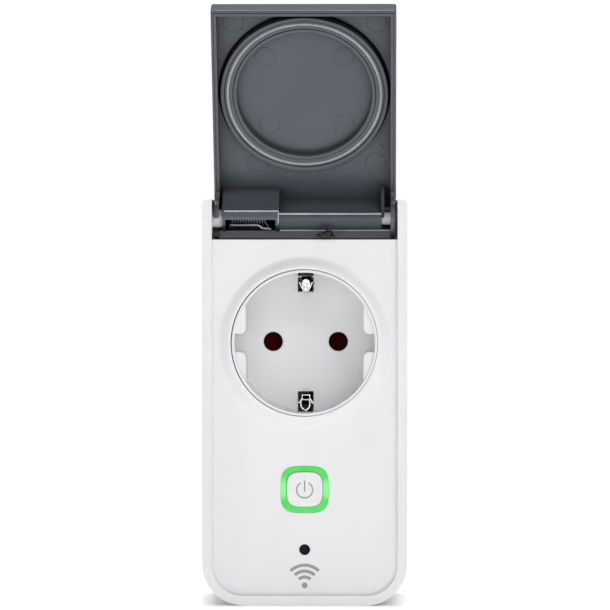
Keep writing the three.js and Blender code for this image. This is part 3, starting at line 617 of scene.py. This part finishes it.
def make_screws():
    """Cross-slotted screws with domed heads."""
    tip = 0.6
    point = 1.5
    shank = 1.25
    head_depth = 2.2
    dome = 0.7
    slot_depth = 1.2
    narrow = 0.32
    wide = 1.8
    for name, (low, high) in SCREWS.items():
        x, _, z = middle_of(low, high)
        head = (high.x - low.x) / 2
        top = high.y
        screw = turned([(0, low.y), (tip, low.y), (shank, low.y + point),
                        (shank, top - head_depth), (head, top - head_depth), (head, top - dome)]
                       + arc((head - dome, top - dome), dome, 0, 90, 4) + [(0, top)],
                       x, z, segments=48)
        for width, height in ((narrow, wide), (wide, narrow)):
            cut(screw, block((x - width, x + width), (top - slot_depth, top + PAST),
                             (z - height, z + height)))
        round_edges(screw, 0.06, 1)
        finish_piece(screw, f"screw_{name}", steel, "housing", f"housing_screw_{name}")


make_front_shell()
make_rear_shell()
make_screws()


# ---- socket ----

FLAT_X = 16.9
GROOVE_HALF = 2.6
KEY_CORNER = 1.7
KEY_TOP_Y = SOCKET_RIM_Y + 0.8
WINDOW_START = 14.5


def key_outline(side, up):
    """One side key: a flat face, a rounded corner, and one wall of the middle groove."""
    outer = SOCKET_RADIUS + 0.3
    low = asin(GROOVE_HALF / outer)
    high = acos(FLAT_X / outer)
    points = arc((FLAT_X + KEY_CORNER, GROOVE_HALF + KEY_CORNER), KEY_CORNER, 180, 270, 8)
    points += arc((0, 0), outer, degrees(low), degrees(high), 16)
    return [(side * x, up * z) for x, z in points]


def make_socket():
    """The round well with its four side keys, two pin holes and two earth windows."""
    floor_y = SOCKET_FLOOR_Y
    back_y = SOCKET_HIGH.y
    lip = 0.35
    inner_lip = lip * 0.6
    foot = 0.6
    cup = turned([(0, back_y), (SOCKET_OUTER, back_y)]
                 + arc((SOCKET_OUTER - lip, SOCKET_RIM_Y + lip), lip, 0, -90, 4)
                 + arc((SOCKET_RADIUS + inner_lip, SOCKET_RIM_Y + inner_lip), inner_lip,
                       -90, -180, 4)
                 + arc((SOCKET_RADIUS - foot, floor_y - foot), foot, 0, 90, 5)
                 + [(0, floor_y)], segments=FINEST)
    for side in (-1, 1):
        for up in (-1, 1):
            key = prism(key_outline(side, up), KEY_TOP_Y, floor_y + 0.5)
            round_edges(key, 0.25, 3)
            join(cup, key)
    hole = 2.8
    flare = 0.28
    tools = [turned([(0, floor_y - 1), (hole + flare + 1, floor_y - 1), (hole, floor_y + flare),
                     (hole, back_y + PAST), (0, back_y + PAST)],
                    side * PIN_X, 0, segments=64) for side in (-1, 1)]
    window_half = 2.3
    window_rise = 10
    for up in (-1, 1):
        ends = sorted((up * WINDOW_START, up * (SOCKET_RADIUS + 0.3)))
        tools.append(block((-window_half, window_half), (floor_y - window_rise, back_y + PAST),
                           ends))
    cut(cup, *tools)
    round_edges(cup, 0.14, 2)
    level = 0.02
    for vertex in cup.data.vertices:
        if abs(vertex.co.y - floor_y) < level:
            vertex.co.y = floor_y
    finish_piece(cup, "socket_well", socket_plastic, "housing", "socket_insert",
                 slot="white_plastic")


def ribbon(points, width, y, depth=0.04, closed=False):
    """A strip of one width through (x, z) points, thin for a printed mark and deeper for a clip.

    A closed one has its points counterclockwise.
    """
    count = len(points)
    inner = []
    outer = []
    for index, (x, z) in enumerate(points):
        before = points[index - 1] if closed or index else points[0]
        after = points[(index + 1) % count] if closed or index < count - 1 else points[-1]
        run = Vector((after[0] - before[0], after[1] - before[1])).normalized()
        side = Vector((-run.y, run.x)) * width / 2
        inner.append((x + side.x, z + side.y))
        outer.append((x - side.x, z - side.y))
    if not closed:
        return prism(inner + outer[::-1], y, y + depth)
    body = prism(outer, y, y + depth)
    return cut(body, prism(inner, y - PAST, y + depth + PAST))


def make_earth_strap():
    """An arched tongue above and a hollow sprung loop below, with the bridge behind the floor."""
    low, high = corners("earth_strap")
    back_y = high.y
    outer = high.z
    front = low.y + 1
    sheet = 0.45
    behind = front + sheet
    wire = 0.34
    start = WINDOW_START + 0.05
    arch = [(-0.95, start), (0.95, start), (1.25, start + 1.6)]
    arch += arc((0, start + 2.5), 1.25, 0, 180, 16)
    arch += [(-1.25, start + 1.6)]
    clips = prism(arch, front, behind)
    hollow = [(-0.6, start - 1), (0.6, start - 1), (0.6, start + 1.2), (0, start + 1.7),
              (-0.6, start + 1.2)]
    cut(clips, prism(hollow, front - PAST, front + 0.3))
    round_edges(clips, 0.16, 3)
    frame_top = -start - 0.75
    foot = frame_top - 1.35
    box_frame = ribbon([(-1.08, frame_top), (-1.08, foot), (1.08, foot), (1.08, frame_top)],
                       0.3, front, sheet, closed=True)
    arm = ribbon([(-1.05, foot + 0.5), (-1.35, foot - 0.1), (-1.7, foot - 0.65)],
                 wire, front, sheet)
    loop = ribbon([(-1.45, foot - 0.7), (-1.4, foot - 1.9), (-0.95, foot - 2.6), (0, foot - 3.1),
                   (0.8, foot - 2.5), (1.1, foot - 1.7), (1.1, foot + 0.1)], wire, front, sheet)
    join(clips, box_frame, arm, loop)
    for side in (-1, 1):
        petal = prism([(side * 0.95, start + 1.0), (side * 1.25, start + 1.0),
                       (side * 2.0, start + 2.7), (side * 1.75, start + 2.9)],
                      front + 0.1, behind)
        join(clips, petal)
    horn = prism([(1.05, foot + 0.4), (1.35, foot + 0.45), (2.05, foot - 0.9), (1.75, foot - 1.0)],
                 front, behind)
    clean(join(clips, horn))
    clips.data.transform(Matrix.Translation((0.2, 0, 0)))
    finish_piece(clips, "earth_clips", bright_nickel, "housing", "earth_strap", slot="nickel")
    bridge = block((-1.5, 1.5), (back_y - 0.6, back_y), (-outer, outer))
    for up in (-1, 1):
        join(bridge, block((-1.1, 1.1), (SOCKET_FLOOR_Y - 3.6, back_y - 0.1),
                           sorted((up * (start + 0.1), up * (start + 0.5)))))
    round_edges(bridge, 0.12, 2)
    # The bridge is nickel; its near-black colour is painted shade.
    finish_piece(bridge, "earth_bridge", painted_shade_steel, "housing", slot="nickel")


def make_shutter():
    """The turning shutter: two dark blades, each with a thin black crescent of painted shadow at
    one side.
    """
    low, high = corners("safety_shutter")
    hub_radius = 2
    hub_bore = 1.25
    arm_half = 1.5
    blade_radius = 3.3
    hub = rod(hub_radius, low.y, high.y, segments=48)
    for side in (-1, 1):
        blade = rod(blade_radius, low.y + 0.02, high.y - 0.3, side * PIN_X, 0, segments=64)
        round_edges(blade, 0.3, 2)
        join(hub, blade)
    join(hub, block((-PIN_X, PIN_X), (low.y + 0.01, low.y + 1), (-arm_half, arm_half)))
    cut(hub, rod(hub_bore, low.y - PAST, high.y + PAST, segments=32))
    finish_piece(hub, "pin_shutter", shutter_plastic, "shutter", "safety_shutter")
    # Painted shadow: a thin black crescent on each blade, where the hole's wall shades it.
    shade_radius = 3.2
    for side, label, offset in ((-1, "left", 1.1), (1, "right", 1.5)):
        shade = rod(shade_radius, low.y - 0.1, low.y + 0.1, side * PIN_X, 0, segments=64)
        cut(shade, rod(shade_radius, low.y - PAST, low.y + PAST, side * PIN_X - offset,
                       0.1 * side, segments=64))
        finish_piece(shade, f"shutter_painted_shadow_{label}", painted_shadow_black, "shutter", slot="shutter_plastic")


make_socket()
make_earth_strap()
make_shutter()


# ---- plug behind ----

def make_plug_base():
    """The round plug body with its flat sides, on a wider flange inside the rear shell."""
    face_y = PLUG_HIGH.y
    flange_y = REAR_HIGH.y - WALL - 0.3
    flange_radius = 21.5
    bevel = 1.2
    base = turned([(0, flange_y - 1), (PLUG_RADIUS, flange_y - 1)]
                  + arc((PLUG_RADIUS - bevel, face_y - bevel), bevel, 0, 90, 6) + [(0, face_y)],
                  segments=FINEST)
    flat_x = 16.4
    flat_z = 2.2
    for side in (-1, 1):
        for up in (-1, 1):
            cut(base, block(sorted((side * flat_x, side * 30)), (REAR_HIGH.y + 1, 1),
                            sorted((up * flat_z, up * 20))))
    round_edges(base, 0.4, 3)
    join(base, rod(flange_radius, PLUG_LOW.y, flange_y, segments=128))
    back_y = PLUG_LOW.y - PAST
    front_y = face_y + PAST
    holes = [rod(PIN_RADIUS + 0.06, back_y, front_y, side * PIN_X, 0, segments=64)
             for side in (-1, 1)]
    for up in (-1, 1):
        holes.append(block((-2.75, 2.75), (back_y, -1.3), sorted((up * 17, up * 25))))
    holes.append(rod(3.05, back_y, front_y, 0, 10, segments=64))
    cut(base, *holes)
    round_edges(base, 0.15, 2)
    finish_piece(base, "plug_body", white_plastic, "housing", "plug_base")


def make_plug_pins():
    """Round pins with a fine neck ring and a blunt domed tip."""
    chamfer = 0.3
    neck_radius = PIN_RADIUS - 0.08
    dome = 1.9
    steps = 10
    for side, label in ((-1, "left"), (1, "right")):
        low, high = corners(f"plug_pin_{label}")
        neck = PLUG_HIGH.y + 0.8
        profile = [(0, low.y), (PIN_RADIUS - chamfer, low.y), (PIN_RADIUS, low.y + chamfer),
                   (PIN_RADIUS, neck), (neck_radius, neck + 0.15), (neck_radius, neck + 0.5),
                   (PIN_RADIUS, neck + 0.65)]
        for step in range(steps + 1):
            angle = radians(90 * step / steps)
            radius = 0 if step == steps else PIN_RADIUS * cos(angle) ** 0.8
            profile.append((radius, high.y - dome + dome * sin(angle)))
        pin = turned(profile, side * PIN_X, 0, segments=64)
        finish_piece(pin, f"pin_{label}", nickel, "housing", f"plug_pin_{label}")


def make_plug_earth():
    """The two side strips, each with a pair of fine grooves, and the slotted earth sleeve."""
    for up, label in ((1, "upper"), (-1, "lower")):
        low, high = corners(f"plug_earth_strip_{label}")
        strip = block((low.x, high.x), (low.y, high.y), (low.z, high.z))
        round_edges(strip, 0.45, 4)
        outside = (high.z - 0.02) if up > 0 else (low.z + 0.02)
        for offset in (-0.9, 0.9):
            cut(strip, rod(0.16, low.y + 8, high.y - 2.2, offset, outside, segments=16))
        finish_piece(strip, f"earth_strip_{label}", nickel, "housing", f"plug_earth_strip_{label}")
    low, high = corners("plug_earth_sleeve")
    outer = (high.x - low.x) / 2
    inner = outer - 0.5
    edge = 0.3
    middle = (low.z + high.z) / 2
    sleeve = turned([(inner, low.y), (outer, low.y), (outer, high.y - edge),
                     (outer - 0.15, high.y), (outer - 0.35, high.y), (inner, high.y - edge)],
                    0, middle, segments=64)
    slot_length = 9
    slot_half = 0.22
    for turn in (0, 60, 120):
        slot = block((-outer - PAST, outer + PAST), (high.y - slot_length, high.y + PAST),
                     (-slot_half, slot_half))
        slot.data.transform(Matrix.Rotation(radians(turn), 4, "Y"))
        slot.data.transform(Matrix.Translation((0, 0, middle)))
        cut(sleeve, slot)
    finish_piece(sleeve, "earth_sleeve", nickel, "housing", "plug_earth_sleeve")


make_plug_base()
make_plug_pins()
make_plug_earth()


# ---- button, light and window ----

def make_light_ring():
    """The lit band has rounded edges and stands a hair proud of the face."""
    back = RING_HIGH.y
    ring = prism(button_outline(0), FACE_Y + 0.02, back)
    join(ring, prism(button_outline(-RING_FLANGE), back - 0.9, back))
    cut(ring, prism(button_outline(RING_BAND), FACE_Y - PAST, back + PAST))
    round_edges(ring, 0.22, 4)
    finish_piece(ring, "glow_ring", ring_material, "housing", "light_ring")


def make_button():
    inset = RING_HALF_WIDTH - CAP_HIGH.x - 0.08
    cap = prism(button_outline(inset), CAP_LOW.y + 0.1, CAP_LOW.y + 2.2)
    round_edges(cap, 0.32, 5)
    join(cap, rod(1.5, CAP_LOW.y + 1.5, CAP_HIGH.y, 0, BUTTON_Z, segments=32))
    finish_piece(cap, "button", button_plastic, "button", "button_cap")


def make_power_mark():
    """The common power sign: an open circle with a bar in its gap."""
    y = CAP_LOW.y + 0.08
    size = 2.3
    line = 0.4
    middle = BUTTON_Z - 0.12
    mark = ribbon(arc((0, middle), size, 118, 422, 40), line, y)
    join(mark, ribbon([(0, middle + 2.75), (0, middle - 0.5)], line, y))
    finish_piece(mark, "power_mark", ink, "button", slot="button_plastic", sharp=None)


def make_wireless_mark():
    """A plain wireless sign: a dot and three arcs above it."""
    y = FACE_Y - 0.02
    centre = (0, INDICATOR_Z - 10.25)
    mark = prism(arc(centre, 0.85, 0, 345, 23), y, y + 0.04)
    for size in (2.4, 4.1, 5.8):
        join(mark, ribbon(arc(centre, size, 46, 134, 20), 0.9, y))
    finish_piece(mark, "wireless_mark", ink, "housing", slot="white_plastic", sharp=None)


def make_indicator():
    low, high = corners("indicator_window")
    radius = (high.x - low.x) / 2
    face = INDICATOR_RADIUS - 0.1
    window = turned([(0, high.y), (radius, high.y), (radius, high.y - 1), (face, high.y - 1),
                     (face, low.y + 0.3), (face - 0.2, low.y + 0.08), (face / 2, low.y),
                     (0, low.y)], 0, INDICATOR_Z, segments=48)
    finish_piece(window, "indicator_lens", window_material, "housing", "indicator_window")


make_light_ring()
make_button()
make_power_mark()
make_wireless_mark()
make_indicator()


# ---- lid ----
# Drawn from the hinge axis. What is drawn closed is turned open about it.

LID_HALF = 26.3
LID_WALL = 1.6
LID_FRONT = -11.2
LID_INNER = LID_FRONT + LID_WALL
LID_CREST = -5.3
LID_END = -62.7
KNUCKLE = 5.7
LIP_INNER = 3.5
HOOD_LEFT = -23.8
HOOD_RIGHT = -7.5
HUB_X = 22
COLLAR_RADII = (19.4, 20.4, 22.9, 24)
LEFT_PIN_RADIUS = (LEFT_PIN_HIGH.z - LEFT_PIN_LOW.z) / 2
RIGHT_PIN_RADIUS = (RIGHT_PIN_HIGH.z - RIGHT_PIN_LOW.z) / 2
AT_HINGE = Matrix.Translation(LID_AXIS)
OPEN_LID = AT_HINGE @ Matrix.Rotation(-LID_OPEN, 4, "X")


def lid_outside():
    """The closed lid from the side, in (y, z) points, from its notch round to its free end."""
    corner = 5
    edge = 0.9
    knuckle_start = degrees(atan2(-4.42, -3.6))
    return ([(LID_CREST, LID_END), (LID_CREST, -5.9)]
            + arc((0, 0), KNUCKLE, knuckle_start, 90, 24)
            + arc((LID_FRONT + corner, KNUCKLE - corner), corner, 90, 180, 12)
            + arc((LID_FRONT + edge, LID_END + edge), edge, 180, 270, 5))


def lid_inside():
    """The hollow of the lid, in the same way."""
    lip_angle = 62
    bend = 3.6
    foot = 0.5
    back = 20
    return ([(back, LID_END + LID_WALL), (back, back * tan(radians(lip_angle)))]
            + arc((0, 0), LIP_INNER, lip_angle, 90, 6)
            + arc((LID_INNER + bend, LIP_INNER - bend), bend, 90, 180, 10)
            + arc((LID_INNER + foot, LID_END + LID_WALL + foot), foot, 180, 270, 4))


def hood_curve(inset, end, steps):
    """The hood's curve from the lid's plate round the hinge axis to the angle `end`."""
    reach = KNUCKLE - 1.1 - inset
    start = degrees(atan2(-3.7 + inset * 0.8, 2.7 - inset * 0.6))
    shoulder = -5.3 + inset
    plate = LID_INNER - (0 if inset else 0.1)
    return ([(plate, shoulder), (-3.9 + inset * 0.4, shoulder)]
            + arc((0, 0), reach, start, end, steps))


def make_hood():
    """The hood over the spring, open towards the socket, with a lip along its front."""
    wall = 0.9
    lip = -22
    far = 8
    outside = hood_curve(0, 0, 14)
    outside += [(1.5, LIP_INNER + 0.2), (LID_INNER - 0.1, LIP_INNER + 0.2)]
    inside = hood_curve(wall, lip, 10)
    inside += [(far, far * tan(radians(lip))), (far, far), (LID_INNER, far)]
    hood = prism(outside, HOOD_LEFT, HOOD_RIGHT, "X")
    return cut(hood, prism(inside, HOOD_LEFT + wall, HOOD_RIGHT - wall, "X"))


def lid_ring(profile):
    """A ring that lies round the socket when the lid is closed."""
    return turned(profile, 0, -LID_AXIS.z, segments=192)


def make_collar():
    """Two moulded rings with the seal's groove between them."""
    back = LID_INNER - 0.2
    floor = LID_INNER + 0.2
    top = -7.2
    bevel = 0.14
    inner, groove_inner, groove_outer, outer = COLLAR_RADII
    profile = [(inner, back), (outer, back), (outer, top - bevel), (outer - bevel, top),
               (groove_outer + bevel, top), (groove_outer, top - bevel), (groove_outer, floor),
               (groove_inner, floor), (groove_inner, top - bevel), (groove_inner - bevel, top),
               (inner + bevel, top), (inner, top - bevel)]
    return lid_ring(profile)


def snap_slot(radius, low, high, angle):
    """The slot that lets the lid snap over a pin; its angle is up from level on the open lid."""
    slot = block((low, high), (-12, 0), (-radius, radius))
    slot.data.transform(Matrix.Rotation(LID_OPEN - radians(angle), 4, "X"))
    return slot


def make_lid():
    """The cover with its hood, rib, hub, collar and the low relief on its plate."""
    side = LID_HALF - LID_WALL
    root = LID_INNER - 0.1
    lid = prism(lid_outside(), -LID_HALF, LID_HALF, "X")
    round_edges(lid, 0.75, 4)
    cut(lid, prism(lid_inside(), -side, side, "X"))
    rib = block((HOOD_RIGHT - 0.5, HUB_X + 0.5), (root, -0.4), (-1.6, -0.6))
    hub = prism([(root, -6.5), (LID_CREST, -5.3), (-0.4, -2.6), (2.5, -1.5), (2.5, 1.5),
                 (1.2, LIP_INNER + 0.2), (root, LIP_INNER + 0.2)], HUB_X, HUB_X + 0.9, "X")
    pad = block((HOOD_RIGHT, 4.7), (root, LID_INNER + 0.14), (-3.15, -1.5))
    dash = block((-2.4, 1.6), (LID_INNER, LID_INNER + 0.28), (-3.25, -3.05))
    line = turned([(25.02, root), (25.18, root), (25.1, LID_INNER + 0.05)],
                  0, 0.6 - LID_AXIS.z, segments=192)
    tick = prism([(21.6, -18.9), (22.6, -17.7), (22.7, -17.8), (21.8, -18.95)],
                 root, LID_INNER + 0.2)
    join(lid, rib, hub, make_hood(), make_collar(), pad, dash, line, tick)
    groove_y = (LID_CREST - 0.22, LID_CREST + 1)
    groove_half = 0.13
    for edge_side in (-1, 1):
        x = edge_side * (LID_HALF - 0.75)
        cut(lid, block((x - groove_half, x + groove_half), groove_y, (LID_END + 0.6, -8)))
    cut(lid, block((-LID_HALF + 0.62, LID_HALF - 0.62), groove_y, (LID_END + 0.62, LID_END + 0.88)))
    edge = LID_HALF + PAST
    pin_gap = 0.2
    left_bore = LEFT_PIN_RADIUS + pin_gap
    right_bore = RIGHT_PIN_RADIUS + pin_gap
    cut(lid,
        rod(left_bore, -edge, HOOD_LEFT + 1.5, 0, 0, "X", 48),
        rod(right_bore, HUB_X - 0.5, edge, 0, 0, "X", 48),
        snap_slot(left_bore, -edge, -side + 0.5, -29),
        snap_slot(right_bore, HUB_X - 0.5, HUB_X + 1.4, -40),
        block((3.9, 8), (-1, 6), (LIP_INNER + 0.9, KNUCKLE + 1)))
    round_edges(lid, 0.16, 3, 21)
    finish_piece(lid, "lid", lid_plastic, "lid", "lid_cover", sharp=18, move=OPEN_LID)


def make_hinge_barrel():
    """The rounded front of the hinge between the rib's crest and the lip, drawn on the open lid."""
    radius = 3.9
    skin = 0.45
    low = 156
    high = 232
    outline = arc((0, 0), radius, low, high, 20) + arc((0, 0), radius - skin, high, low, 20)
    barrel = prism(outline, HOOD_RIGHT + 0.02, HUB_X - 0.02, "X")
    # Its darker plastic is painted shade.
    finish_piece(barrel, "hinge_barrel", barrel_shade_plastic, "lid", slot="lid_plastic", move=AT_HINGE)


def make_painted_highlights():
    """Painted highlights: fine light beads along the crests of the hinge end, drawn on the open
    lid.
    """
    hood_crest = (-4.12, 2.1)
    crests = [("hood_crest", HOOD_LEFT + 0.6, HOOD_RIGHT - 0.1, hood_crest, 0.2),
              ("rib_crest", HOOD_RIGHT + 0.05, HUB_X - 0.05, (-3.72, 1.3), 0.26),
              ("lip_crest", HOOD_RIGHT + 0.3, LID_HALF - LID_WALL, (-1.1, -3.42), 0.22)]
    for name, start, end, (y, z), radius in crests:
        bead = rod(radius, start, end, y, z, "X", 24)
        round_edges(bead, 0.06, 2)
        finish_piece(bead, name, highlight_slate, "lid", slot="lid_plastic", sharp=50, move=AT_HINGE)
    sweep = 44
    first = degrees(atan2(hood_crest[1], hood_crest[0]))
    side_crest = arc((0, 0), hypot(*hood_crest), first, first + sweep, 12)
    side_bead = tube([Vector((HOOD_RIGHT - 0.1, y, z)) for y, z in side_crest], 0.16, 12)
    finish_piece(side_bead, "hood_side_crest", highlight_slate, "lid", slot="lid_plastic", sharp=60,
                 move=AT_HINGE)


def make_collar_shadows():
    """Painted shadow: thin black crescents on the plate where the collar leaves it, one outside it
    and one inside.
    """
    y = LID_INNER + 0.03
    middle = -LID_AXIS.z
    shift = 0.55
    for name, bound, radius in (("outer", 24.75, 24.0), ("inner", 19.5, 19.45)):
        shadow_disc = rod(bound, y - 0.05, y + 0.02, 0, middle, segments=FINEST)
        cut(shadow_disc, rod(radius, y - PAST, y + PAST, 0, middle + shift, segments=FINEST))
        finish_piece(shadow_disc, f"collar_painted_shadow_{name}", painted_shadow_black, "lid", slot="lid_plastic",
                     move=OPEN_LID)


def make_ejector_marks():
    """The shallow round marks that the mould's ejector pins leave inside the lid."""
    y = LID_INNER + 0.015
    radius = 2.9
    half_line = 0.09
    places = [(-20, -57.3), (20.6, -57.3), (-11, -46.7), (11.3, -46.7),
              (-10.2, -25.6), (11.2, -25.6), (-13.8, -13.2), (20.3, -13.2)]
    for number, (x, z) in enumerate(places):
        mark = turned([(radius - half_line, y - 0.05), (radius + half_line, y - 0.05),
                       (radius, y + 0.05)], x, z, segments=64)
        finish_piece(mark, f"ejector_mark_{number + 1}", lid_plastic, "lid", move=OPEN_LID)


def make_lid_seal():
    """A soft ring with finer steps on its inner side, and a proud rounded ridge on top."""
    back = LID_INNER + 0.4
    base = -7.35
    flat = base - 0.1
    profile = [(20.5, back), (22.8, back), (22.8, base - 0.25), (22.7, flat), (21.1, flat),
               (21.0, base - 0.18), (20.9, flat), (20.6, flat), (20.5, base - 0.2)]
    seal = lid_ring(profile)
    finish_piece(seal, "lid_ring_seal", lid_rubber, "lid", "lid_seal", sharp=50, move=OPEN_LID)
    # The ridge's lighter rubber is partly a painted highlight.
    middle = 21.95
    half = 0.36
    ridge_profile = [(middle - half, base - 0.2), (middle + half, base - 0.2)]
    ridge_profile += arc((middle, base - 0.05), half, 0, 180, 10)
    ridge = lid_ring(ridge_profile)
    finish_piece(ridge, "lid_seal_ridge", ridge_highlight_rubber, "lid", slot="lid_rubber", sharp=50,
                 move=OPEN_LID)


def tube(path, radius, sides):
    """A round wire through a list of points, with flat ends."""
    bm = bmesh.new()
    rings = []
    last = len(path) - 1
    up = Vector((0, 0.3, 1)).normalized()
    for index, point in enumerate(path):
        run = (path[min(index + 1, last)] - path[max(index - 1, 0)]).normalized()
        across = run.cross(up).normalized()
        up = across.cross(run).normalized()
        ring = []
        for step in range(sides):
            angle = 2 * pi * step / sides
            offset = across * cos(angle) + up * sin(angle)
            ring.append(bm.verts.new(point + offset * radius))
        rings.append(ring)
    for one, other in zip(rings, rings[1:]):
        for step in range(sides):
            after = (step + 1) % sides
            bm.faces.new((one[step], one[after], other[after], other[step]))
    bm.faces.new(rings[0])
    bm.faces.new(rings[-1])
    return to_object(bm)


def make_hinge_spring():
    """A close-wound coil round the hinge axis, and the straight leg in front of it."""
    turns = 13
    steps = 28
    wire = 0.33
    coil = 2.95
    first = -21.6
    last = -11.4
    path = []
    for step in range(turns * steps + 1):
        share = step / (turns * steps)
        angle = 2 * pi * turns * share
        path.append(Vector((first + (last - first) * share, coil * cos(angle), coil * sin(angle))))
    end = path[-1]
    path += [end + Vector(offset) for offset in ((0.5, 0, 0.4), (1.0, 0, 1.3), (1.2, -0.3, 2.2))]
    finish_piece(tube(path, wire, 10), "coil_spring", dark_steel, "lid", "hinge_spring",
                 slot="steel", sharp=60, move=OPEN_LID)
    leg_wire = 0.36
    leg_y = -3.5
    bends = [(-21.4, -1.9), (-17, -1.9), (-13.6, -1.9), (-12.9, -2.3), (-12.2, -2.8), (-10.6, -2.9)]
    leg_path = [Vector((x, leg_y, z)) for x, z in bends] + [Vector((-9.6, leg_y - 0.2, -3.0))]
    finish_piece(tube(leg_path, leg_wire, 12), "spring_leg", steel, "lid", sharp=60, move=AT_HINGE)


def make_flash():
    """The rough little lump of moulding flash at the notch in the lid's lip."""
    lumps = 9
    left = 4.1
    length = 3.8
    ripple = 0.16
    bm = bmesh.new()
    for step in range(lumps):
        share = step / (lumps - 1)
        size = random.uniform(0.6, 1.1) * (1.3 - abs(share - 0.6))
        centre = Vector((left + length * share, LID_AXIS.y - 5.6 + random.uniform(-0.2, 0.2),
                         LID_AXIS.z - 5.15 + 0.7 * sin(pi * share)
                         + random.uniform(-0.3, 0.3)))
        found = bmesh.ops.create_icosphere(bm, subdivisions=3, radius=size,
                                           matrix=Matrix.Translation(centre))
        for vertex in found["verts"]:
            bump = ripple * sin(vertex.co.x * 7.1) * cos(vertex.co.z * 9.3)
            vertex.co += (vertex.co - centre).normalized() * bump
    finish_piece(to_object(bm), "moulding_flash", flash_plastic, "lid", slot="lid_plastic",
                 sharp=60)


def make_hinge_pins():
    bevel = 0.3
    for label in ("left", "right"):
        low, high = corners(f"hinge_pin_{label}")
        radius = (high.z - low.z) / 2
        pin = turned([(0, low.x), (radius - bevel, low.x), (radius, low.x + bevel),
                      (radius, high.x - bevel), (radius - bevel, high.x), (0, high.x)],
                     LID_AXIS.y, LID_AXIS.z, "X", 48)
        finish_piece(pin, f"lid_pin_{label}", white_plastic, "housing", f"hinge_pin_{label}")


make_lid()
make_hinge_barrel()
make_painted_highlights()
make_collar_shadows()
make_ejector_marks()
make_lid_seal()
make_hinge_spring()
make_flash()
make_hinge_pins()


# ---- inner pieces that keep their CAD shape ----

yellow_case = plastic("capacitor_yellow", rgba(214, 190, 96), rgba(196, 172, 84), 0.35)
dark_sleeve = plastic("capacitor_sleeve", rgba(48, 52, 76), rgba(38, 42, 62), 0.3)
blue_coating = plastic("varistor_blue", rgba(52, 98, 158), rgba(42, 84, 140), 0.45)
brown_sleeve = plastic("fuse_sleeve", rgba(94, 76, 58), rgba(80, 62, 46), 0.5)

CARRIED_OVER = {
    seal_rubber: ("shell_seal", "button_seal"),
    steel: ("shutter_spring", "radio_module"),
    black_plastic: ("contact_carrier", "tactile_switch", "switch_plunger", "power_relay",
                    "power_module"),
    brass: ("pin_contact_left", "pin_contact_right", "busbar_left", "busbar_right"),
    ring_material: ("ring_led_left", "ring_led_right"),
    board_green: ("main_board",),
    yellow_case: ("filter_capacitor",),
    dark_sleeve: ("storage_capacitor",),
    blue_coating: ("varistor",),
    brown_sleeve: ("fuse",),
}
for material, names in CARRIED_OVER.items():
    for node_name in names:
        mesh = frame["nodes"][node_name].data
        mesh.materials.clear()
        mesh.materials.append(material)


# ---- studio ----

def make_floor():
    """A plain pale floor that the lower edge stands on, glowing evenly but with a painted contact
    shadow: its glow dims where the body shades it.
    """
    half = 0.4
    level = BODY_BOTTOM * MM
    shade_reach = 7 * MM
    shade_depth = 1.4
    strength = 0.5
    mesh = bpy.data.meshes.new("floor")
    mesh.from_pydata([(x, y, level) for x, y in
                      ((-half, -half), (half, -half), (half, half), (-half, half))],
                     [], [(0, 1, 2, 3)])
    floor = link("floor", mesh)
    n = Nodes("floor")
    n.set("Base Color", n.mix(n.ranged(n.noise(3, 2)), rgba(246, 246, 246), rgba(243, 243, 244)))
    n.set("Roughness", 0.7)
    n.set("Emission Color", (1, 1, 1, 1))
    # Painted shadow: ambient occlusion dims the floor's glow near the body.
    open_sky = n.add("ShaderNodeAmbientOcclusion", {"Distance": shade_reach}, samples=16)
    glow = n.maths("POWER", open_sky.outputs["AO"], shade_depth)
    n.set("Emission Strength", n.maths("MULTIPLY", glow, strength))
    floor.data.materials.append(n.material)


def aim(obj, place_m, target_m):
    obj.location = place_m
    direction = Vector(target_m) - Vector(place_m)
    obj.rotation_euler = direction.to_track_quat("-Z", "Y").to_euler()


def make_light(name, place_m, target_m, size, power):
    data = bpy.data.lights.new(name, "AREA")
    data.shape = "RECTANGLE"
    data.size, data.size_y = size
    data.energy = power
    aim(link(name, data), place_m, target_m)


def make_world():
    """White all round and below, and dimmer overhead."""
    world = bpy.data.worlds.new("studio")
    bpy.context.scene.world = world
    world.use_nodes = True
    tree = world.node_tree
    background = tree.nodes["Background"]
    coords = tree.nodes.new("ShaderNodeTexCoord")
    parts = tree.nodes.new("ShaderNodeSeparateXYZ")
    ramp = tree.nodes.new("ShaderNodeMapRange")
    tree.links.new(coords.outputs["Generated"], parts.inputs[0])
    tree.links.new(parts.outputs["Z"], ramp.inputs["Value"])
    for name, value in (("From Min", 0.1), ("From Max", 0.5), ("To Min", 1.03), ("To Max", 0.08)):
        ramp.inputs[name].default_value = value
    tree.links.new(ramp.outputs["Result"], background.inputs["Strength"])
    background.inputs["Color"].default_value = (1, 1, 1, 1)


def make_camera():
    data = bpy.data.cameras.new("camera")
    data.sensor_width = 36
    data.sensor_fit = "HORIZONTAL"
    data.lens = 226
    data.clip_end = 20
    distance = 1.1
    face = FACE_Y * MM
    camera = link("camera", data)
    aim(camera, (0.022, face - distance, 0.028), (0.0001, face, 0.0109))
    bpy.context.scene.camera = camera


make_floor()
make_world()
make_light("key", (0.5, -0.85, 0.78), (0, -0.05, 0), (0.5, 0.5), 3.5)
make_light("top", (0, 0.3, 1.1), (0, -0.05, 0), (1.0, 0.3), 8.0)
make_light("edge", (0, -0.95, 0.75), (0, -0.05, 0.05), (0.7, 0.03), 0.7)
make_light("lid_fill", (0, -0.75, -0.02), (0, -0.05, 0.07), (0.7, 0.05), 0.6)
make_camera()
bpy.context.scene.view_settings.view_transform = "Standard"
